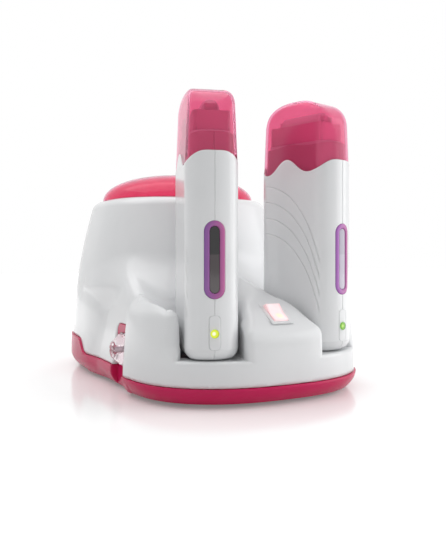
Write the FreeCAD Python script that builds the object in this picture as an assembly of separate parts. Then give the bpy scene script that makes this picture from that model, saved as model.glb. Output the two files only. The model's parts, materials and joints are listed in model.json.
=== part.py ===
import FreeCAD, Part
import math
import os

from FreeCAD import Vector as V

# Wax warming station: a tower with a wax pot under a clear lid, and a front
# deck with two splayed docks, each holding a roll-on hand piece with its
# wax cartridge and cap. Millimetres, +Z up, the front faces -Y, and the
# origin is on the table under the middle of the station.

os.makedirs("parts", exist_ok=True)

# ---------------------------------------------------------------- sizes
FIT = 0.3                   # gap between parts that lift off or turn
SNUG = 0.1                  # gap between parts fixed to each other

FOOT_HEIGHT = 3.0           # how far the feet stand out of the pan
FOOT_RADIUS = 8.0
FOOT_SINK = 1.2             # depth of the foot's socket in the pan

PAN_TOP = 15.5              # seam between pan and housing round the front
PAN_SIDE_TOP = 20.0         # the same seam along the tower's sides
PAN_REAR_TOP = 34.0         # and at the rear, where the pan rises
PAN_WALL = 2.6
PAN_FLOOR = 2.8
PAN_PROUD = 1.5             # how far the pan stands out past the housing
PAN_TUCK = 7.0              # how far its edge rolls in at the bottom
SEAM = 0.5                  # open seam between pan and housing
SEAM_RISE_START = 34.0      # y where the seam starts to rise to the rear
SEAM_RISE_LENGTH = 30.0

WALL = 2.8                  # housing wall
LOBE_HALF_WIDTH = 105.0     # front lobe that carries the docks
LOBE_FRONT_DEPTH = 90.3
LOBE_BACK_DEPTH = 17.0
LOBE_Y = -72.5              # where the lobe is widest
LOBE_POWER = 2.4            # superellipse power of the lobe's outline
LOBE_DRAFT = 0.00122        # inward curve of its wall with height

NECK_HALF_WIDTH = LOBE_HALF_WIDTH - 2.5     # waist between the lobe and the tower
NECK_DRAFT = 17.0           # inward slope over the neck's height
NECK_HEIGHT = 94.0
NECK_FRONT_Y = -78.0

TOWER_Y = 56.5              # tower and pot axis
TOWER_HALF = 106.3          # half width at the foot
TOWER_SHOULDER = 19.8       # how much narrower it is at the shoulder
TOWER_SHOULDER_Z = 165.0
TOWER_POWER = 2.6
TOWER_TOP = 172.0
TOWER_EDGE = 6.5            # rounding of the tower's top edge

DECK_CREST = 112.0          # deck height where it meets the tower
DECK_CREST_Y = -20.0
DECK_CROWN = 0.0014         # how the deck falls away to its sides
LIP_TOP = 36.0              # floor of each dock

DOCK_X = 49.0               # dock centres
DOCK_Y = -112.0
DOCK_SPLAY = 15.7           # degrees each dock turns outwards
DOCK_GAP = 3.0              # clearance round a docked hand piece
DOCK_MOUTH_OUTER = 16.0     # rounding of the dock mouth, outer side
DOCK_MOUTH_INNER = 11.0     # and on the console side
MOUTH_OUTER_START = 20.0    # how far forward each rounding starts
MOUTH_INNER_START = 33.0
DOCK_FLARE_BACK = 12.0      # how far the dish behind the dock opens
DOCK_FLARE_SIDE = 24.0
DOCK_FLARE_LOW = 58.0       # height where the dish starts
DOCK_FLARE_HIGH = 92.0

RECESS_X = LOBE_HALF_WIDTH - 7.7            # face of the knob's recess panel
RECESS_FRONT_Y = -66.0
RECESS_BACK_Y = -34.0
RECESS_TOP = 57.0
RECESS_CORNER = 7.0

KNOB_Y = -50.0
KNOB_Z = 35.6
KNOB_RADIUS = 12.7          # skirt of the knob
KNOB_FACE_RADIUS = 6.3
KNOB_SKIRT = 4.0            # depth of the skirt before the cone
KNOB_LENGTH = 11.0
KNOB_MARK = 1.6             # pointer groove across its face
SHAFT_RADIUS = 3.0
SHAFT_CLEARANCE = 0.06

GRIP_THICKNESS = 42.3       # hand piece across its narrow face
GRIP_BREADTH = 76.6         # and along its broad face, before the crown
GRIP_CROWN = 2.0            # bulge of each narrow face
GRIP_CORNER = 13.6
GRIP_BOTTOM = 36.3
GRIP_FOOT_ROUND = 9.0
GRIP_NECK_TOP = 215.0
GRIP_WALL = 2.2
NECK_INSET = 2.6            # step where the cap slides over the grip
NECK_WALL = 1.5
WAVE_MIDDLE = 193.3         # height of the cap's wavy seam
WAVE_SWING = 5.6
WAVES = 4
WAVE_FLAT = 0.415           # fullness of the crests on the narrow faces
WAVE_DROP = 2.4             # how much lower those crests stand
WAVE_SHIFT = 0.2            # how far the broad faces' crests lean back, in half waves
WAVE_CROWD = 0.17           # and how much closer together the waves are there

CAP_TOP = 251.3
CAP_WALL = 1.6
CAP_ARCH = 42.0             # height of the arch of its top
CAP_DRAFT = 0.041           # inward slope of cap and grip neck
CAP_START = 180.0           # height where the slope starts

WINDOW_BOTTOM = 83.7
WINDOW_TOP = 143.1
WINDOW_WIDTH = 16.0
WINDOW_RIM = 4.1
WINDOW_DEPTH = 2.4
LED_Z = 57.4
LED_RADIUS = 3.3
LED_PANEL_WIDTH = 8.6
LED_PANEL_LOW = 45.0
LED_PANEL_HIGH = 71.0
LED_PANEL_CORNER = 3.0

GROOVE_TOPS = 177.0         # first of the curved grooves on the broad faces
GROOVE_STEP = 13.9
GROOVES = 4
GROOVE_WIDTH = 0.9
GROOVE_DEPTH = 0.5
GROOVE_REACH = 64.0         # half axes of the grooves' ellipses
GROOVE_DROP = 92.0
GROOVE_CENTRE = 30.0

CARTRIDGE_BOTTOM = 62.0
CARTRIDGE_GAP = 0.6         # slack between cartridge and grip neck
HEAD_THICKNESS = 29.0
HEAD_BREADTH = 58.0
HEAD_TOP = 229.0
ROLLER_RADIUS = 7.6
ROLLER_LENGTH = 42.0
ROLLER_Z = 231.5
ROLLER_SINK = 0.5           # gap between roller and its cradle
AXLE_RADIUS = 1.6
AXLE_CLEARANCE = 0.06

POT_FLANGE = TOWER_HALF - 31.3      # the flange stays inside the tower's shoulder
POT_RADIUS = POT_FLANGE - 7.0
POT_WALL = 1.2
POT_BOTTOM = 88.0
WELL_GAP = 1.4              # air between pot and well
WELL_WALL = 1.4
LID_RADIUS = POT_FLANGE + 4.0
LID_RISE = 27.5
LID_WALL = 2.0

ROCKER_Y = -141.0           # console switch
ROCKER_Z = 70.0
ROCKER_TILT = 32.0          # slope of the console where it sits
ROCKER_WIDTH = 13.0
ROCKER_SWEEP = 10.6         # radius of the rocker's ends about its pivot
ROCKER_PIVOT = 3.0          # depth of the pivot under the frame's seat
ROCKER_THROW = 8.0          # degrees either side of level
ROCKER_PIN = 1.3
SWITCH_WALL = 1.6
SWITCH_FLANGE = 1.4          # how far the flange reaches out round the body
SWITCH_LIP = 0.9            # and how thick it is
SWITCH_DEPTH = 16.0
SWITCH_SINK = 0.65          # seat of the flange below the console's surface

CONTACT_LENGTH = 40.0       # dock contact block
CONTACT_WIDTH = 12.0
CONTACT_DEPTH = 6.0
PIN_RADIUS = 1.2
PIN_SPACING = 28.0
PIN_CLEARANCE = 0.06
PAD_RADIUS = 3.0

SCREW_RADIUS = 1.5
SCREW_HEAD_RADIUS = 3.0
SCREW_HEAD_HEIGHT = 1.5
SCREW_LENGTH = 17.0
BOSS_RADIUS = 4.2
SIDE_BOSS_X = TOWER_HALF - 16.3     # side and rear bosses stand clear of the pan's rolled edge
SIDE_BOSS_Y = 30.0
REAR_BOSS_X = 0.52 * TOWER_HALF
REAR_BOSS_Y = TOWER_Y + 0.74 * TOWER_HALF
RIB = 2.0                   # ribs that tie those bosses to the wall
DOCK_BOSS_X = 62.0
DOCK_BOSS_Y = -132.0

FOOT_X = 72.0
FOOT_FRONT_Y = -112.0
FOOT_REAR_Y = 112.0

BOARD_LENGTH = 70.0
BOARD_WIDTH = 34.0
BOARD_Y = -92.0
BOARD_Z = 12.0
BOARD_THICKNESS = 1.6
STANDOFF_RADIUS = 2.6

INLET_HALF_WIDTH = 12.0
INLET_LOW = 10.0
INLET_HIGH = 27.0
INLET_DEPTH = 16.0
INLET_POLE = 4.2            # radius of each lobe of the figure-of-eight socket
INLET_PITCH = 8.6
INLET_PIN = 1.2


# ------------------------------------------------------------- outlines
def superellipse_loop(half_x, front, back, power, centre_y, height, count=28):
    """Closed spline |x/a|^p + |y/b|^p = 1 with its own front and back depth."""
    points = []
    for step in range(count):
        angle = 2 * math.pi * step / count
        c, s = math.cos(angle), math.sin(angle)
        depth = back if s > 0 else front
        x = half_x * math.copysign(abs(c) ** (2 / power), c)
        y = depth * math.copysign(abs(s) ** (2 / power), s)
        points.append(V(x, centre_y + y, height))
    curve = Part.BSplineCurve()
    curve.interpolate(points, PeriodicFlag=True)
    return Part.Wire(curve.toShape())


def rectangle(x0, x1, y0, y1, height):
    corners = [V(x0, y0, height), V(x1, y0, height), V(x1, y1, height), V(x0, y1, height)]
    return Part.makePolygon(corners + corners[:1])


def box(x0, x1, y0, y1, z0, z1):
    return Part.makeBox(x1 - x0, y1 - y0, z1 - z0, V(x0, y0, z0))


def tube(outer, inner, z0, z1, x=0.0, y=0.0):
    ring = Part.makeCylinder(outer, z1 - z0, V(x, y, z0))
    return ring.cut(Part.makeCylinder(inner, z1 - z0, V(x, y, z0)))


def edges_near_height(shape, z, tolerance=0.05):
    """Edges that lie flat at one height."""
    found = []
    for edge in shape.Edges:
        bounds = edge.BoundBox
        if abs(bounds.ZMin - z) < tolerance and abs(bounds.ZMax - z) < tolerance:
            found.append(edge)
    return found


# ------------------------------------------------------ station outlines
def tuck(z):
    """Inward roll of the pan's bottom edge below the front seam."""
    if z >= PAN_TOP:
        return 0.0
    return PAN_TUCK * ((PAN_TOP - z) / (PAN_TOP - FOOT_HEIGHT)) ** 2


def lobe_loop(z, grow):
    draft = LOBE_DRAFT * max(0.0, z - PAN_TOP) ** 2
    move = grow - draft - tuck(z)
    return superellipse_loop(LOBE_HALF_WIDTH + move, LOBE_FRONT_DEPTH + move,
                             LOBE_BACK_DEPTH + move, LOBE_POWER, LOBE_Y, z)


def tower_half(z):
    lean = (max(z, PAN_SIDE_TOP) - PAN_SIDE_TOP) / (TOWER_SHOULDER_Z - PAN_SIDE_TOP)
    return TOWER_HALF - TOWER_SHOULDER * lean ** 2


def tower_loop(z, grow):
    half = tower_half(z) + grow - tuck(z)
    return superellipse_loop(half, half, half, TOWER_POWER, TOWER_Y, z)


def neck_loop(z, grow):
    lean = max(0.0, z - PAN_TOP) / NECK_HEIGHT
    half = NECK_HALF_WIDTH - NECK_DRAFT * lean ** 1.3 + grow - tuck(z)
    return rectangle(-half, half, NECK_FRONT_Y, TOWER_Y - 12.0, z)


def stack(loop, heights, grow):
    return Part.makeLoft([loop(z, grow) for z in heights], True)


# ----------------------------------------------------------- deck surface
DECK_PROFILE = [(60.0, 114.0), (DECK_CREST_Y, DECK_CREST), (-52.0, 105.5), (-79.0, 98.0),
                (-109.0, 87.0), (-141.0, 70.0), (-154.0, 60.0), (-172.0, 40.0)]


def above_deck(drop):
    """Everything above the deck: crowned arches carried along the deck's side profile."""
    wires = []
    reach = LOBE_HALF_WIDTH + 30.0
    for y, z in DECK_PROFILE:
        crown = DECK_CROWN * min(1.0, max(0.25, (y - ROCKER_Y) / (LOBE_Y - ROCKER_Y)))
        side = z - drop - crown * reach ** 2
        arch = Part.Arc(V(-reach, y, side), V(0, y, z - drop), V(reach, y, side)).toShape()
        walls = Part.makePolygon([V(reach, y, side), V(reach, y, 240), V(-reach, y, 240), V(-reach, y, side)])
        wires.append(Part.Wire([arch] + walls.Edges))
    return Part.makeLoft(wires, True)


# ---------------------------------------------------- hand piece sections
def grip_section(grow, z=0.0):
    """Rounded rectangle with crowned narrow ends, moved out by grow."""
    half_x = GRIP_THICKNESS / 2 - GRIP_CORNER
    half_y = GRIP_BREADTH / 2 - GRIP_CORNER
    corners = [V(half_x, half_y, z), V(-half_x, half_y, z), V(-half_x, -half_y, z), V(half_x, -half_y, z)]
    back = Part.Arc(corners[0], V(0, half_y + GRIP_CROWN, z), corners[1]).toShape()
    left = Part.makeLine(corners[1], corners[2])
    front = Part.Arc(corners[2], V(0, -half_y - GRIP_CROWN, z), corners[3]).toShape()
    right = Part.makeLine(corners[3], corners[0])
    core = Part.Wire([back, left, front, right])
    return core.makeOffset2D(GRIP_CORNER + grow)


def grip_prism(grow, z0, z1):
    return Part.Face(grip_section(grow, z0)).extrude(V(0, 0, z1 - z0))


GRIP_HALF_Y = GRIP_BREADTH / 2 + GRIP_CROWN
QUARTER = (GRIP_BREADTH / 2 - GRIP_CORNER) + GRIP_CORNER * math.pi / 2 + GRIP_THICKNESS / 2 - GRIP_CORNER


def rim_point(travel, grow, z):
    """Point on the grip's outline, travel millimetres from the middle of a broad face."""
    straight = GRIP_BREADTH / 2 - GRIP_CORNER
    turn = GRIP_CORNER * math.pi / 2
    quadrant, travel = divmod(travel, QUARTER)
    if quadrant % 2:
        travel = QUARTER - travel
    if travel < straight:
        x, y = GRIP_THICKNESS / 2 + grow, travel
    elif travel < straight + turn:
        angle = (travel - straight) / GRIP_CORNER
        reach = GRIP_CORNER + grow
        x = GRIP_THICKNESS / 2 - GRIP_CORNER + reach * math.cos(angle)
        y = straight + reach * math.sin(angle)
    else:
        x = GRIP_THICKNESS / 2 - GRIP_CORNER - (travel - straight - turn)
        y = straight + GRIP_CORNER + grow
    bulge = GRIP_CROWN * max(0.0, (y - straight) / (GRIP_CORNER + grow))
    y += bulge
    sign_x = 1 if quadrant in (0, 3) else -1
    sign_y = 1 if quadrant in (0, 1) else -1
    return V(sign_x * x, sign_y * y, z)


def wave_level(travel):
    """Height of the seam: a crest on each face, round on the broad faces and a flat top on the narrow ones."""
    forward = QUARTER - abs((travel - QUARTER) % (4 * QUARTER) - 2 * QUARTER)
    turn = math.pi * forward / QUARTER
    lean = WAVE_SHIFT * (0.5 + 0.5 * math.cos(turn)) + WAVE_CROWD * math.sin(turn)
    swing = math.cos(turn * WAVES / 2 + math.pi * lean)
    narrow = 0.5 - 0.5 * math.cos(math.pi * travel / QUARTER)
    flat = WAVE_FLAT * narrow * (1.0 - swing * swing) * max(0.0, 0.5 + swing)
    return WAVE_MIDDLE + WAVE_SWING * (swing + flat) - WAVE_DROP * narrow


def wave_band(shift, height):
    """Ring whose lower (or upper) face follows the wavy seam between grip and cap."""
    loops = []
    samples = 12 * WAVES
    for grow in (4.0, -GRIP_CORNER * 0.6):
        points = []
        for step in range(samples):
            travel = 4 * QUARTER * step / samples
            points.append(rim_point(travel, grow, wave_level(travel) + shift))
        curve = Part.BSplineCurve()
        curve.interpolate(points, PeriodicFlag=True)
        loops.append(curve.toShape())
    return Part.makeRuledSurface(loops[0], loops[1]).extrude(V(0, 0, height))


def stadium(width, z0, z1, y0, y1):
    """Upright slot shape with round ends, extruded along Y."""
    radius = width / 2
    low = Part.makeCylinder(radius, y1 - y0, V(0, y0, z0 + radius), V(0, 1, 0))
    high = Part.makeCylinder(radius, y1 - y0, V(0, y0, z1 - radius), V(0, 1, 0))
    middle = box(-radius, radius, y0, y1, z0 + radius, z1 - radius)
    return middle.fuse([low, high]).removeSplitter()


def dock_place(shape, side):
    """Turn a part built about the grip's own axis into its dock; side is -1 left, +1 right."""
    placed = shape.copy()
    placed.rotate(V(0, 0, 0), V(0, 0, 1), side * DOCK_SPLAY)
    placed.translate(V(side * DOCK_X, DOCK_Y, 0))
    return placed


def mirror_for(shape, side):
    """Hand pieces are built for the right dock; the left one is its mirror image."""
    return shape if side > 0 else shape.mirror(V(0, 0, 0), V(1, 0, 0))


# ------------------------------------------------------------ dock pocket
def pocket_face(grow, z):
    """Plan of a dock: round back corners, and a mouth that flares open to the front."""
    half = GRIP_THICKNESS / 2 + DOCK_GAP + grow
    back = GRIP_HALF_Y + DOCK_GAP + grow
    corner = GRIP_CORNER + DOCK_GAP + grow
    far = 80.0
    outer, inner = DOCK_MOUTH_OUTER - grow, DOCK_MOUTH_INNER - grow
    outer_lip, inner_lip = -MOUTH_OUTER_START, -MOUTH_INNER_START
    k = math.sqrt(0.5)

    def line(x0, y0, x1, y1):
        return Part.makeLine(V(x0, y0, z), V(x1, y1, z))

    def corner_arc(x0, y0, x1, y1, centre_x, centre_y):
        middle_x = centre_x + k * (x0 + x1 - 2 * centre_x)
        middle_y = centre_y + k * (y0 + y1 - 2 * centre_y)
        return Part.Arc(V(x0, y0, z), V(middle_x, middle_y, z), V(x1, y1, z)).toShape()

    turn = back - corner
    edges = [
        line(-half + corner, back, half - corner, back),
        corner_arc(half - corner, back, half, turn, half - corner, turn),
        line(half, turn, half, outer_lip),
        corner_arc(half, outer_lip, half + outer, outer_lip - outer, half + outer, outer_lip),
        line(half + outer, outer_lip - outer, far, outer_lip - outer),
        line(far, outer_lip - outer, far, -far),
        line(far, -far, -far, -far),
        line(-far, -far, -far, inner_lip - inner),
        line(-far, inner_lip - inner, -half - inner, inner_lip - inner),
        corner_arc(-half - inner, inner_lip - inner, -half, inner_lip, -half - inner, inner_lip),
        line(-half, inner_lip, -half, turn),
        corner_arc(-half, turn, -half + corner, back, -half + corner, turn),
    ]
    return Part.Face(Part.Wire(edges))


def pocket(grow, floor, roof=200.0):
    return pocket_face(grow, floor).extrude(V(0, 0, roof - floor))


def dish(grow):
    """Shallow dish that opens the dock's back and outer side upwards."""
    half = GRIP_THICKNESS / 2 + DOCK_GAP + grow
    back = GRIP_HALF_Y + DOCK_GAP + grow
    front = -MOUTH_OUTER_START
    wide, deep = half + DOCK_FLARE_SIDE, back + DOCK_FLARE_BACK
    low = rectangle(-half, half, front, back, DOCK_FLARE_LOW - grow)
    high = rectangle(-half, wide, front, deep, DOCK_FLARE_HIGH - grow)
    top = rectangle(-half, wide, front, deep, DOCK_FLARE_HIGH + 40.0)
    return Part.makeLoft([low, high], True, True).fuse(Part.makeLoft([high, top], True, True))


# ---------------------------------------------------------------- seam
def below_seam(raise_by, reach=200.0):
    """Everything under the pan's rim line: low at the front, higher at the sides, highest behind."""
    start, run = SEAM_RISE_START, SEAM_RISE_LENGTH
    low, side, rear = PAN_TOP + raise_by, PAN_SIDE_TOP + raise_by, PAN_REAR_TOP + raise_by
    middle_y, middle_z = start + run / 2, (side + rear) / 2
    outline = [
        Part.makeLine(V(0, -reach, -20), V(0, -reach, low)),
        Part.makeLine(V(0, -reach, low), V(0, RECESS_FRONT_Y + raise_by, low)),
        Part.makeLine(V(0, RECESS_FRONT_Y + raise_by, low), V(0, RECESS_FRONT_Y + raise_by, side)),
        Part.makeLine(V(0, RECESS_FRONT_Y + raise_by, side), V(0, start, side)),
    ]
    rise = Part.BSplineCurve()
    rise.buildFromPoles([V(0, start, side), V(0, middle_y, side), V(0, middle_y, middle_z),
                         V(0, middle_y, rear), V(0, start + run, rear)])
    outline += [
        rise.toShape(),
        Part.makeLine(V(0, start + run, rear), V(0, reach, rear)),
        Part.makeLine(V(0, reach, rear), V(0, reach, -20)),
        Part.makeLine(V(0, reach, -20), V(0, -reach, -20)),
    ]
    face = Part.Face(Part.Wire(outline))
    face.translate(V(-reach, 0, 0))
    return face.extrude(V(2 * reach, 0, 0))


PAN_LEVELS = [FOOT_HEIGHT, (FOOT_HEIGHT + PAN_TOP) / 2, PAN_TOP, PAN_REAR_TOP + 6.0]
LOBE_LEVELS = [PAN_TOP - 4.0, 45.0, 76.0, 118.0]
TOWER_LEVELS = [PAN_TOP - 4.0, 60.0, 100.0, 140.0, TOWER_TOP]


def recess_cutter(face_x, grow):
    """Opening in the left side for the knob, in to face_x, with a rounded upper back corner."""
    back, top = RECESS_BACK_Y + grow, RECESS_TOP + grow
    cutter = box(-140.0, -face_x, RECESS_FRONT_Y - grow, back, -10.0, top)
    corner = [edge for edge in cutter.Edges
              if abs(edge.CenterOfMass.y - back) < 0.01 and abs(edge.CenterOfMass.z - top) < 0.01]
    return cutter.makeFillet(RECESS_CORNER, corner)


# ------------------------------------------------------------------ pan
PANEL_BACK = RECESS_X - PAN_WALL
PAN_FLOOR_TOP = FOOT_HEIGHT + PAN_FLOOR
BOSS_SPOTS = [(side * x, y) for side in (-1, 1) for x, y in
              ((SIDE_BOSS_X, SIDE_BOSS_Y), (REAR_BOSS_X, REAR_BOSS_Y), (DOCK_BOSS_X, DOCK_BOSS_Y))]
FOOT_SPOTS = [(side * FOOT_X, y) for side in (-1, 1) for y in (FOOT_FRONT_Y, FOOT_REAR_Y)]
BOARD_SPOTS = [(x * (BOARD_LENGTH / 2 - 5.0), BOARD_Y + y * (BOARD_WIDTH / 2 - 5.0))
               for x in (-1, 1) for y in (-1, 1)]
REAR_Y = TOWER_Y + TOWER_HALF + PAN_PROUD


def pan_body(grow):
    tower = stack(tower_loop, PAN_LEVELS, grow)
    return tower.fuse([stack(neck_loop, PAN_LEVELS, grow), stack(lobe_loop, PAN_LEVELS, grow)])


def inlet_room(gap):
    return box(-INLET_HALF_WIDTH - gap, INLET_HALF_WIDTH + gap, REAR_Y - INLET_DEPTH - gap, REAR_Y + 5.0,
               INLET_LOW - gap, INLET_HIGH + gap)


def knob_bore(radius):
    return Part.makeCylinder(radius, 60.0, V(-RECESS_X - 30.0, KNOB_Y, KNOB_Z), V(1, 0, 0))


def make_pan():
    """Tray with a rolled lower edge, an upright panel for the knob and a taller rear wall."""
    room = box(-140.0, -PANEL_BACK, RECESS_FRONT_Y - PAN_WALL, RECESS_BACK_Y + PAN_WALL, -10.0, 80.0)
    hollow = pan_body(PAN_PROUD - PAN_WALL).cut(room)
    hollow = hollow.common(box(-200, 200, -200, 200, PAN_FLOOR_TOP, 90))
    tray = pan_body(PAN_PROUD).common(below_seam(0.0)).cut(recess_cutter(RECESS_X, 0.0)).cut(hollow)
    sheet = box(-RECESS_X, -PANEL_BACK, RECESS_FRONT_Y - 5.0, RECESS_BACK_Y + 5.0, PAN_FLOOR_TOP, RECESS_TOP + 5.0)
    panel = recess_cutter(PANEL_BACK, -SNUG).common(sheet)
    standoffs = [Part.makeCylinder(STANDOFF_RADIUS, BOARD_Z - FOOT_HEIGHT - 1.0, V(x, y, FOOT_HEIGHT + 1.0))
                 for x, y in BOARD_SPOTS]
    tray = tray.fuse([panel] + standoffs)
    holes = [Part.makeCylinder(FOOT_RADIUS + SNUG, FOOT_SINK + SNUG, V(x, y, FOOT_HEIGHT)) for x, y in FOOT_SPOTS]
    for x, y in BOSS_SPOTS:
        holes.append(Part.makeCylinder(SCREW_HEAD_RADIUS + SNUG, SCREW_HEAD_HEIGHT + SNUG, V(x, y, FOOT_HEIGHT)))
        holes.append(Part.makeCylinder(SCREW_RADIUS + SNUG, PAN_FLOOR + 1.0, V(x, y, FOOT_HEIGHT)))
    return tray.cut(holes + [inlet_room(SNUG), knob_bore(SHAFT_RADIUS + FIT)])


# -------------------------------------------------------------- housing
WELL_RADIUS = POT_RADIUS + WELL_GAP


def on_console(shape):
    """Place a part built flat about the switch's seat onto the sloping console."""
    placed = shape.copy()
    placed.rotate(V(0, 0, 0), V(1, 0, 0), ROCKER_TILT)
    tilt = math.radians(ROCKER_TILT)
    placed.translate(V(0, ROCKER_Y + SWITCH_SINK * math.sin(tilt), ROCKER_Z - SWITCH_SINK * math.cos(tilt)))
    return placed


SWITCH_OPEN_X = ROCKER_WIDTH / 2 + FIT
SWITCH_OPEN_Y = ROCKER_SWEEP + FIT
SWITCH_BODY_X = SWITCH_OPEN_X + SWITCH_WALL
SWITCH_BODY_Y = SWITCH_OPEN_Y + SWITCH_WALL


def switch_block(gap, low, high, flange=0.0):
    x, y = SWITCH_BODY_X + flange + gap, SWITCH_BODY_Y + flange + gap
    return box(-x, x, -y, y, low, high)


def housing_body(grow, drop, roof):
    """Tower joined through the neck to the lobe, under the crowned deck."""
    deck = stack(lobe_loop, LOBE_LEVELS, grow).fuse(stack(neck_loop, LOBE_LEVELS, grow))
    tower = stack(tower_loop, TOWER_LEVELS, grow)
    if roof < TOWER_TOP:
        tower = tower.common(box(-200, 200, -200, 200, 0, roof))
    else:
        tower = tower.makeFillet(TOWER_EDGE, edges_near_height(tower, TOWER_TOP))
    return deck.cut(above_deck(drop)).fuse(tower)


def rib_room():
    """Room inside the pan's rim, and above it inside the tower's wall, that the ribs may fill."""
    split = PAN_REAR_TOP + 4.0
    low = pan_body(PAN_PROUD - PAN_WALL - SNUG).common(box(-200, 200, -200, 200, 0, split))
    return low.fuse(stack(tower_loop, [split, split + 20.0], -WALL / 2))


def boss_ribs():
    """Upright ribs from the side bosses out to the side wall and from the rear bosses back to the rear wall."""
    top = PAN_REAR_TOP + 14.0
    far = max(TOWER_HALF, NECK_HALF_WIDTH) + 5.0
    ribs = []
    for side in (-1, 1):
        x0, x1 = sorted((side * SIDE_BOSS_X, side * far))
        ribs.append(box(x0, x1, SIDE_BOSS_Y - RIB / 2, SIDE_BOSS_Y + RIB / 2, PAN_SIDE_TOP, top))
        middle = side * REAR_BOSS_X
        ribs.append(box(middle - RIB / 2, middle + RIB / 2, REAR_BOSS_Y, TOWER_Y + far, PAN_SIDE_TOP, top))
    return ribs


def make_housing():
    """One moulded shell: tower, neck and lobe with two dock pockets and a round well opening."""
    outer = housing_body(0.0, 0.0, TOWER_TOP)
    inner = housing_body(-WALL, WALL, TOWER_TOP - WALL)
    for side in (-1, 1):
        keep = pocket(WALL, LIP_TOP - WALL).fuse(dish(WALL))
        inner = inner.cut(dock_place(mirror_for(keep, side), side))
    shell = outer.cut(inner).cut([below_seam(SEAM), recess_cutter(PANEL_BACK - SNUG, 0.0)])
    bosses = []
    for x, y in BOSS_SPOTS:
        top = LIP_TOP if y == DOCK_BOSS_Y else PAN_REAR_TOP + 14.0
        bosses.append(Part.makeCylinder(BOSS_RADIUS, top - PAN_FLOOR_TOP - SNUG, V(x, y, PAN_FLOOR_TOP + SNUG)))
    room = rib_room()
    shell = shell.fuse(bosses + [rib.common(room) for rib in boss_ribs()])
    openings = [Part.makeCylinder(WELL_RADIUS, 60.0, V(0, TOWER_Y, TOWER_TOP - 30.0))]
    openings += [Part.makeCylinder(SCREW_RADIUS, SCREW_LENGTH, V(x, y, FOOT_HEIGHT)) for x, y in BOSS_SPOTS]
    for side in (-1, 1):
        for cutter in (pocket(0.0, LIP_TOP), dish(0.0), contact_room(SNUG)):
            openings.append(dock_place(mirror_for(cutter, side), side))
    openings.append(on_console(switch_block(SNUG, 0.0, 12.0, SWITCH_FLANGE)))
    openings.append(on_console(switch_block(SNUG, -SWITCH_DEPTH - 8.0, 1.0)))
    for opening in openings:
        shell = shell.cut(opening)
    return shell


# ------------------------------------------------------- dock contacts
def contact_room(gap):
    half_x, half_y = CONTACT_WIDTH / 2 + gap, CONTACT_LENGTH / 2 + gap
    return box(-half_x, half_x, -half_y, half_y, LIP_TOP - CONTACT_DEPTH, LIP_TOP)


def upright_pin(sign, radius, z0, z1):
    """One of the two places on the dock's long axis; sign is -1 in front, +1 behind."""
    return Part.makeCylinder(radius, z1 - z0, V(0, sign * PIN_SPACING / 2, z0))


def pin_pair(radius, z0, z1):
    return Part.makeCompound([upright_pin(sign, radius, z0, z1) for sign in (-1, 1)])


def make_contact_block():
    """Black moulding set flush in the dock's floor, bored for two sprung pins."""
    return contact_room(0.0).cut(pin_pair(PIN_RADIUS + PIN_CLEARANCE, 0.0, 60.0))


PAD_FACE = GRIP_BOTTOM + 0.2
PIN_TOP = GRIP_BOTTOM - 0.1


def make_front_pin():
    return upright_pin(-1, PIN_RADIUS, LIP_TOP - CONTACT_DEPTH, PIN_TOP)


def make_rear_pin():
    return upright_pin(1, PIN_RADIUS, LIP_TOP - CONTACT_DEPTH, PIN_TOP)


# ------------------------------------------------------- pot, well, lid
def revolve_about_tower(points):
    profile = Part.Face(Part.makePolygon([V(r, 0, z) for r, z in points + points[:1]]))
    solid = profile.revolve(V(0, 0, 0), V(0, 0, 1), 360)
    solid.translate(V(0, TOWER_Y, 0))
    return solid


WELL_FLOOR = POT_BOTTOM - FIT
WELL_TOP = TOWER_TOP - WALL
SEAL_HEIGHT = 2.5


def make_well():
    """Deep-drawn aluminium well with a flange under the tower's top."""
    outer = WELL_RADIUS + WELL_WALL
    flange = WELL_TOP - SEAL_HEIGHT
    return revolve_about_tower([
        (0, WELL_FLOOR - WELL_WALL), (outer, WELL_FLOOR - WELL_WALL), (outer, flange - WELL_WALL),
        (POT_FLANGE + 1.0, flange - WELL_WALL), (POT_FLANGE + 1.0, flange), (WELL_RADIUS, flange),
        (WELL_RADIUS, WELL_FLOOR), (0, WELL_FLOOR)])


def make_seal():
    return tube(POT_FLANGE + 1.0, WELL_RADIUS, WELL_TOP - SEAL_HEIGHT, WELL_TOP, 0.0, TOWER_Y)


BAND_WIDTH = 42.0
BAND_THICKNESS = 3.0
BAND_GAP = 8.0


def make_band_heater():
    """Clamped heating band round the well, open at the back with two clamp ears."""
    inner = WELL_RADIUS + WELL_WALL + SNUG
    outer = inner + BAND_THICKNESS
    low = WELL_FLOOR + 8.0
    band = tube(outer, inner, low, low + BAND_WIDTH, 0.0, TOWER_Y)
    edge = BAND_GAP / 2
    band = band.cut(box(-edge, edge, TOWER_Y, TOWER_Y + 100.0, low - 1.0, low + BAND_WIDTH + 1.0))
    ears = [box(x, x + BAND_THICKNESS, TOWER_Y + inner + 0.5, TOWER_Y + outer + 8.0, low, low + BAND_WIDTH)
            for x in (edge, -edge - BAND_THICKNESS)]
    return band.fuse(ears)


def make_cutoff():
    return Part.makeCylinder(8.0, 5.0, V(0, TOWER_Y, WELL_FLOOR - WELL_WALL - 5.0))


POT_SEAT = TOWER_TOP + FIT
POT_ROUND = 9.0


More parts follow.
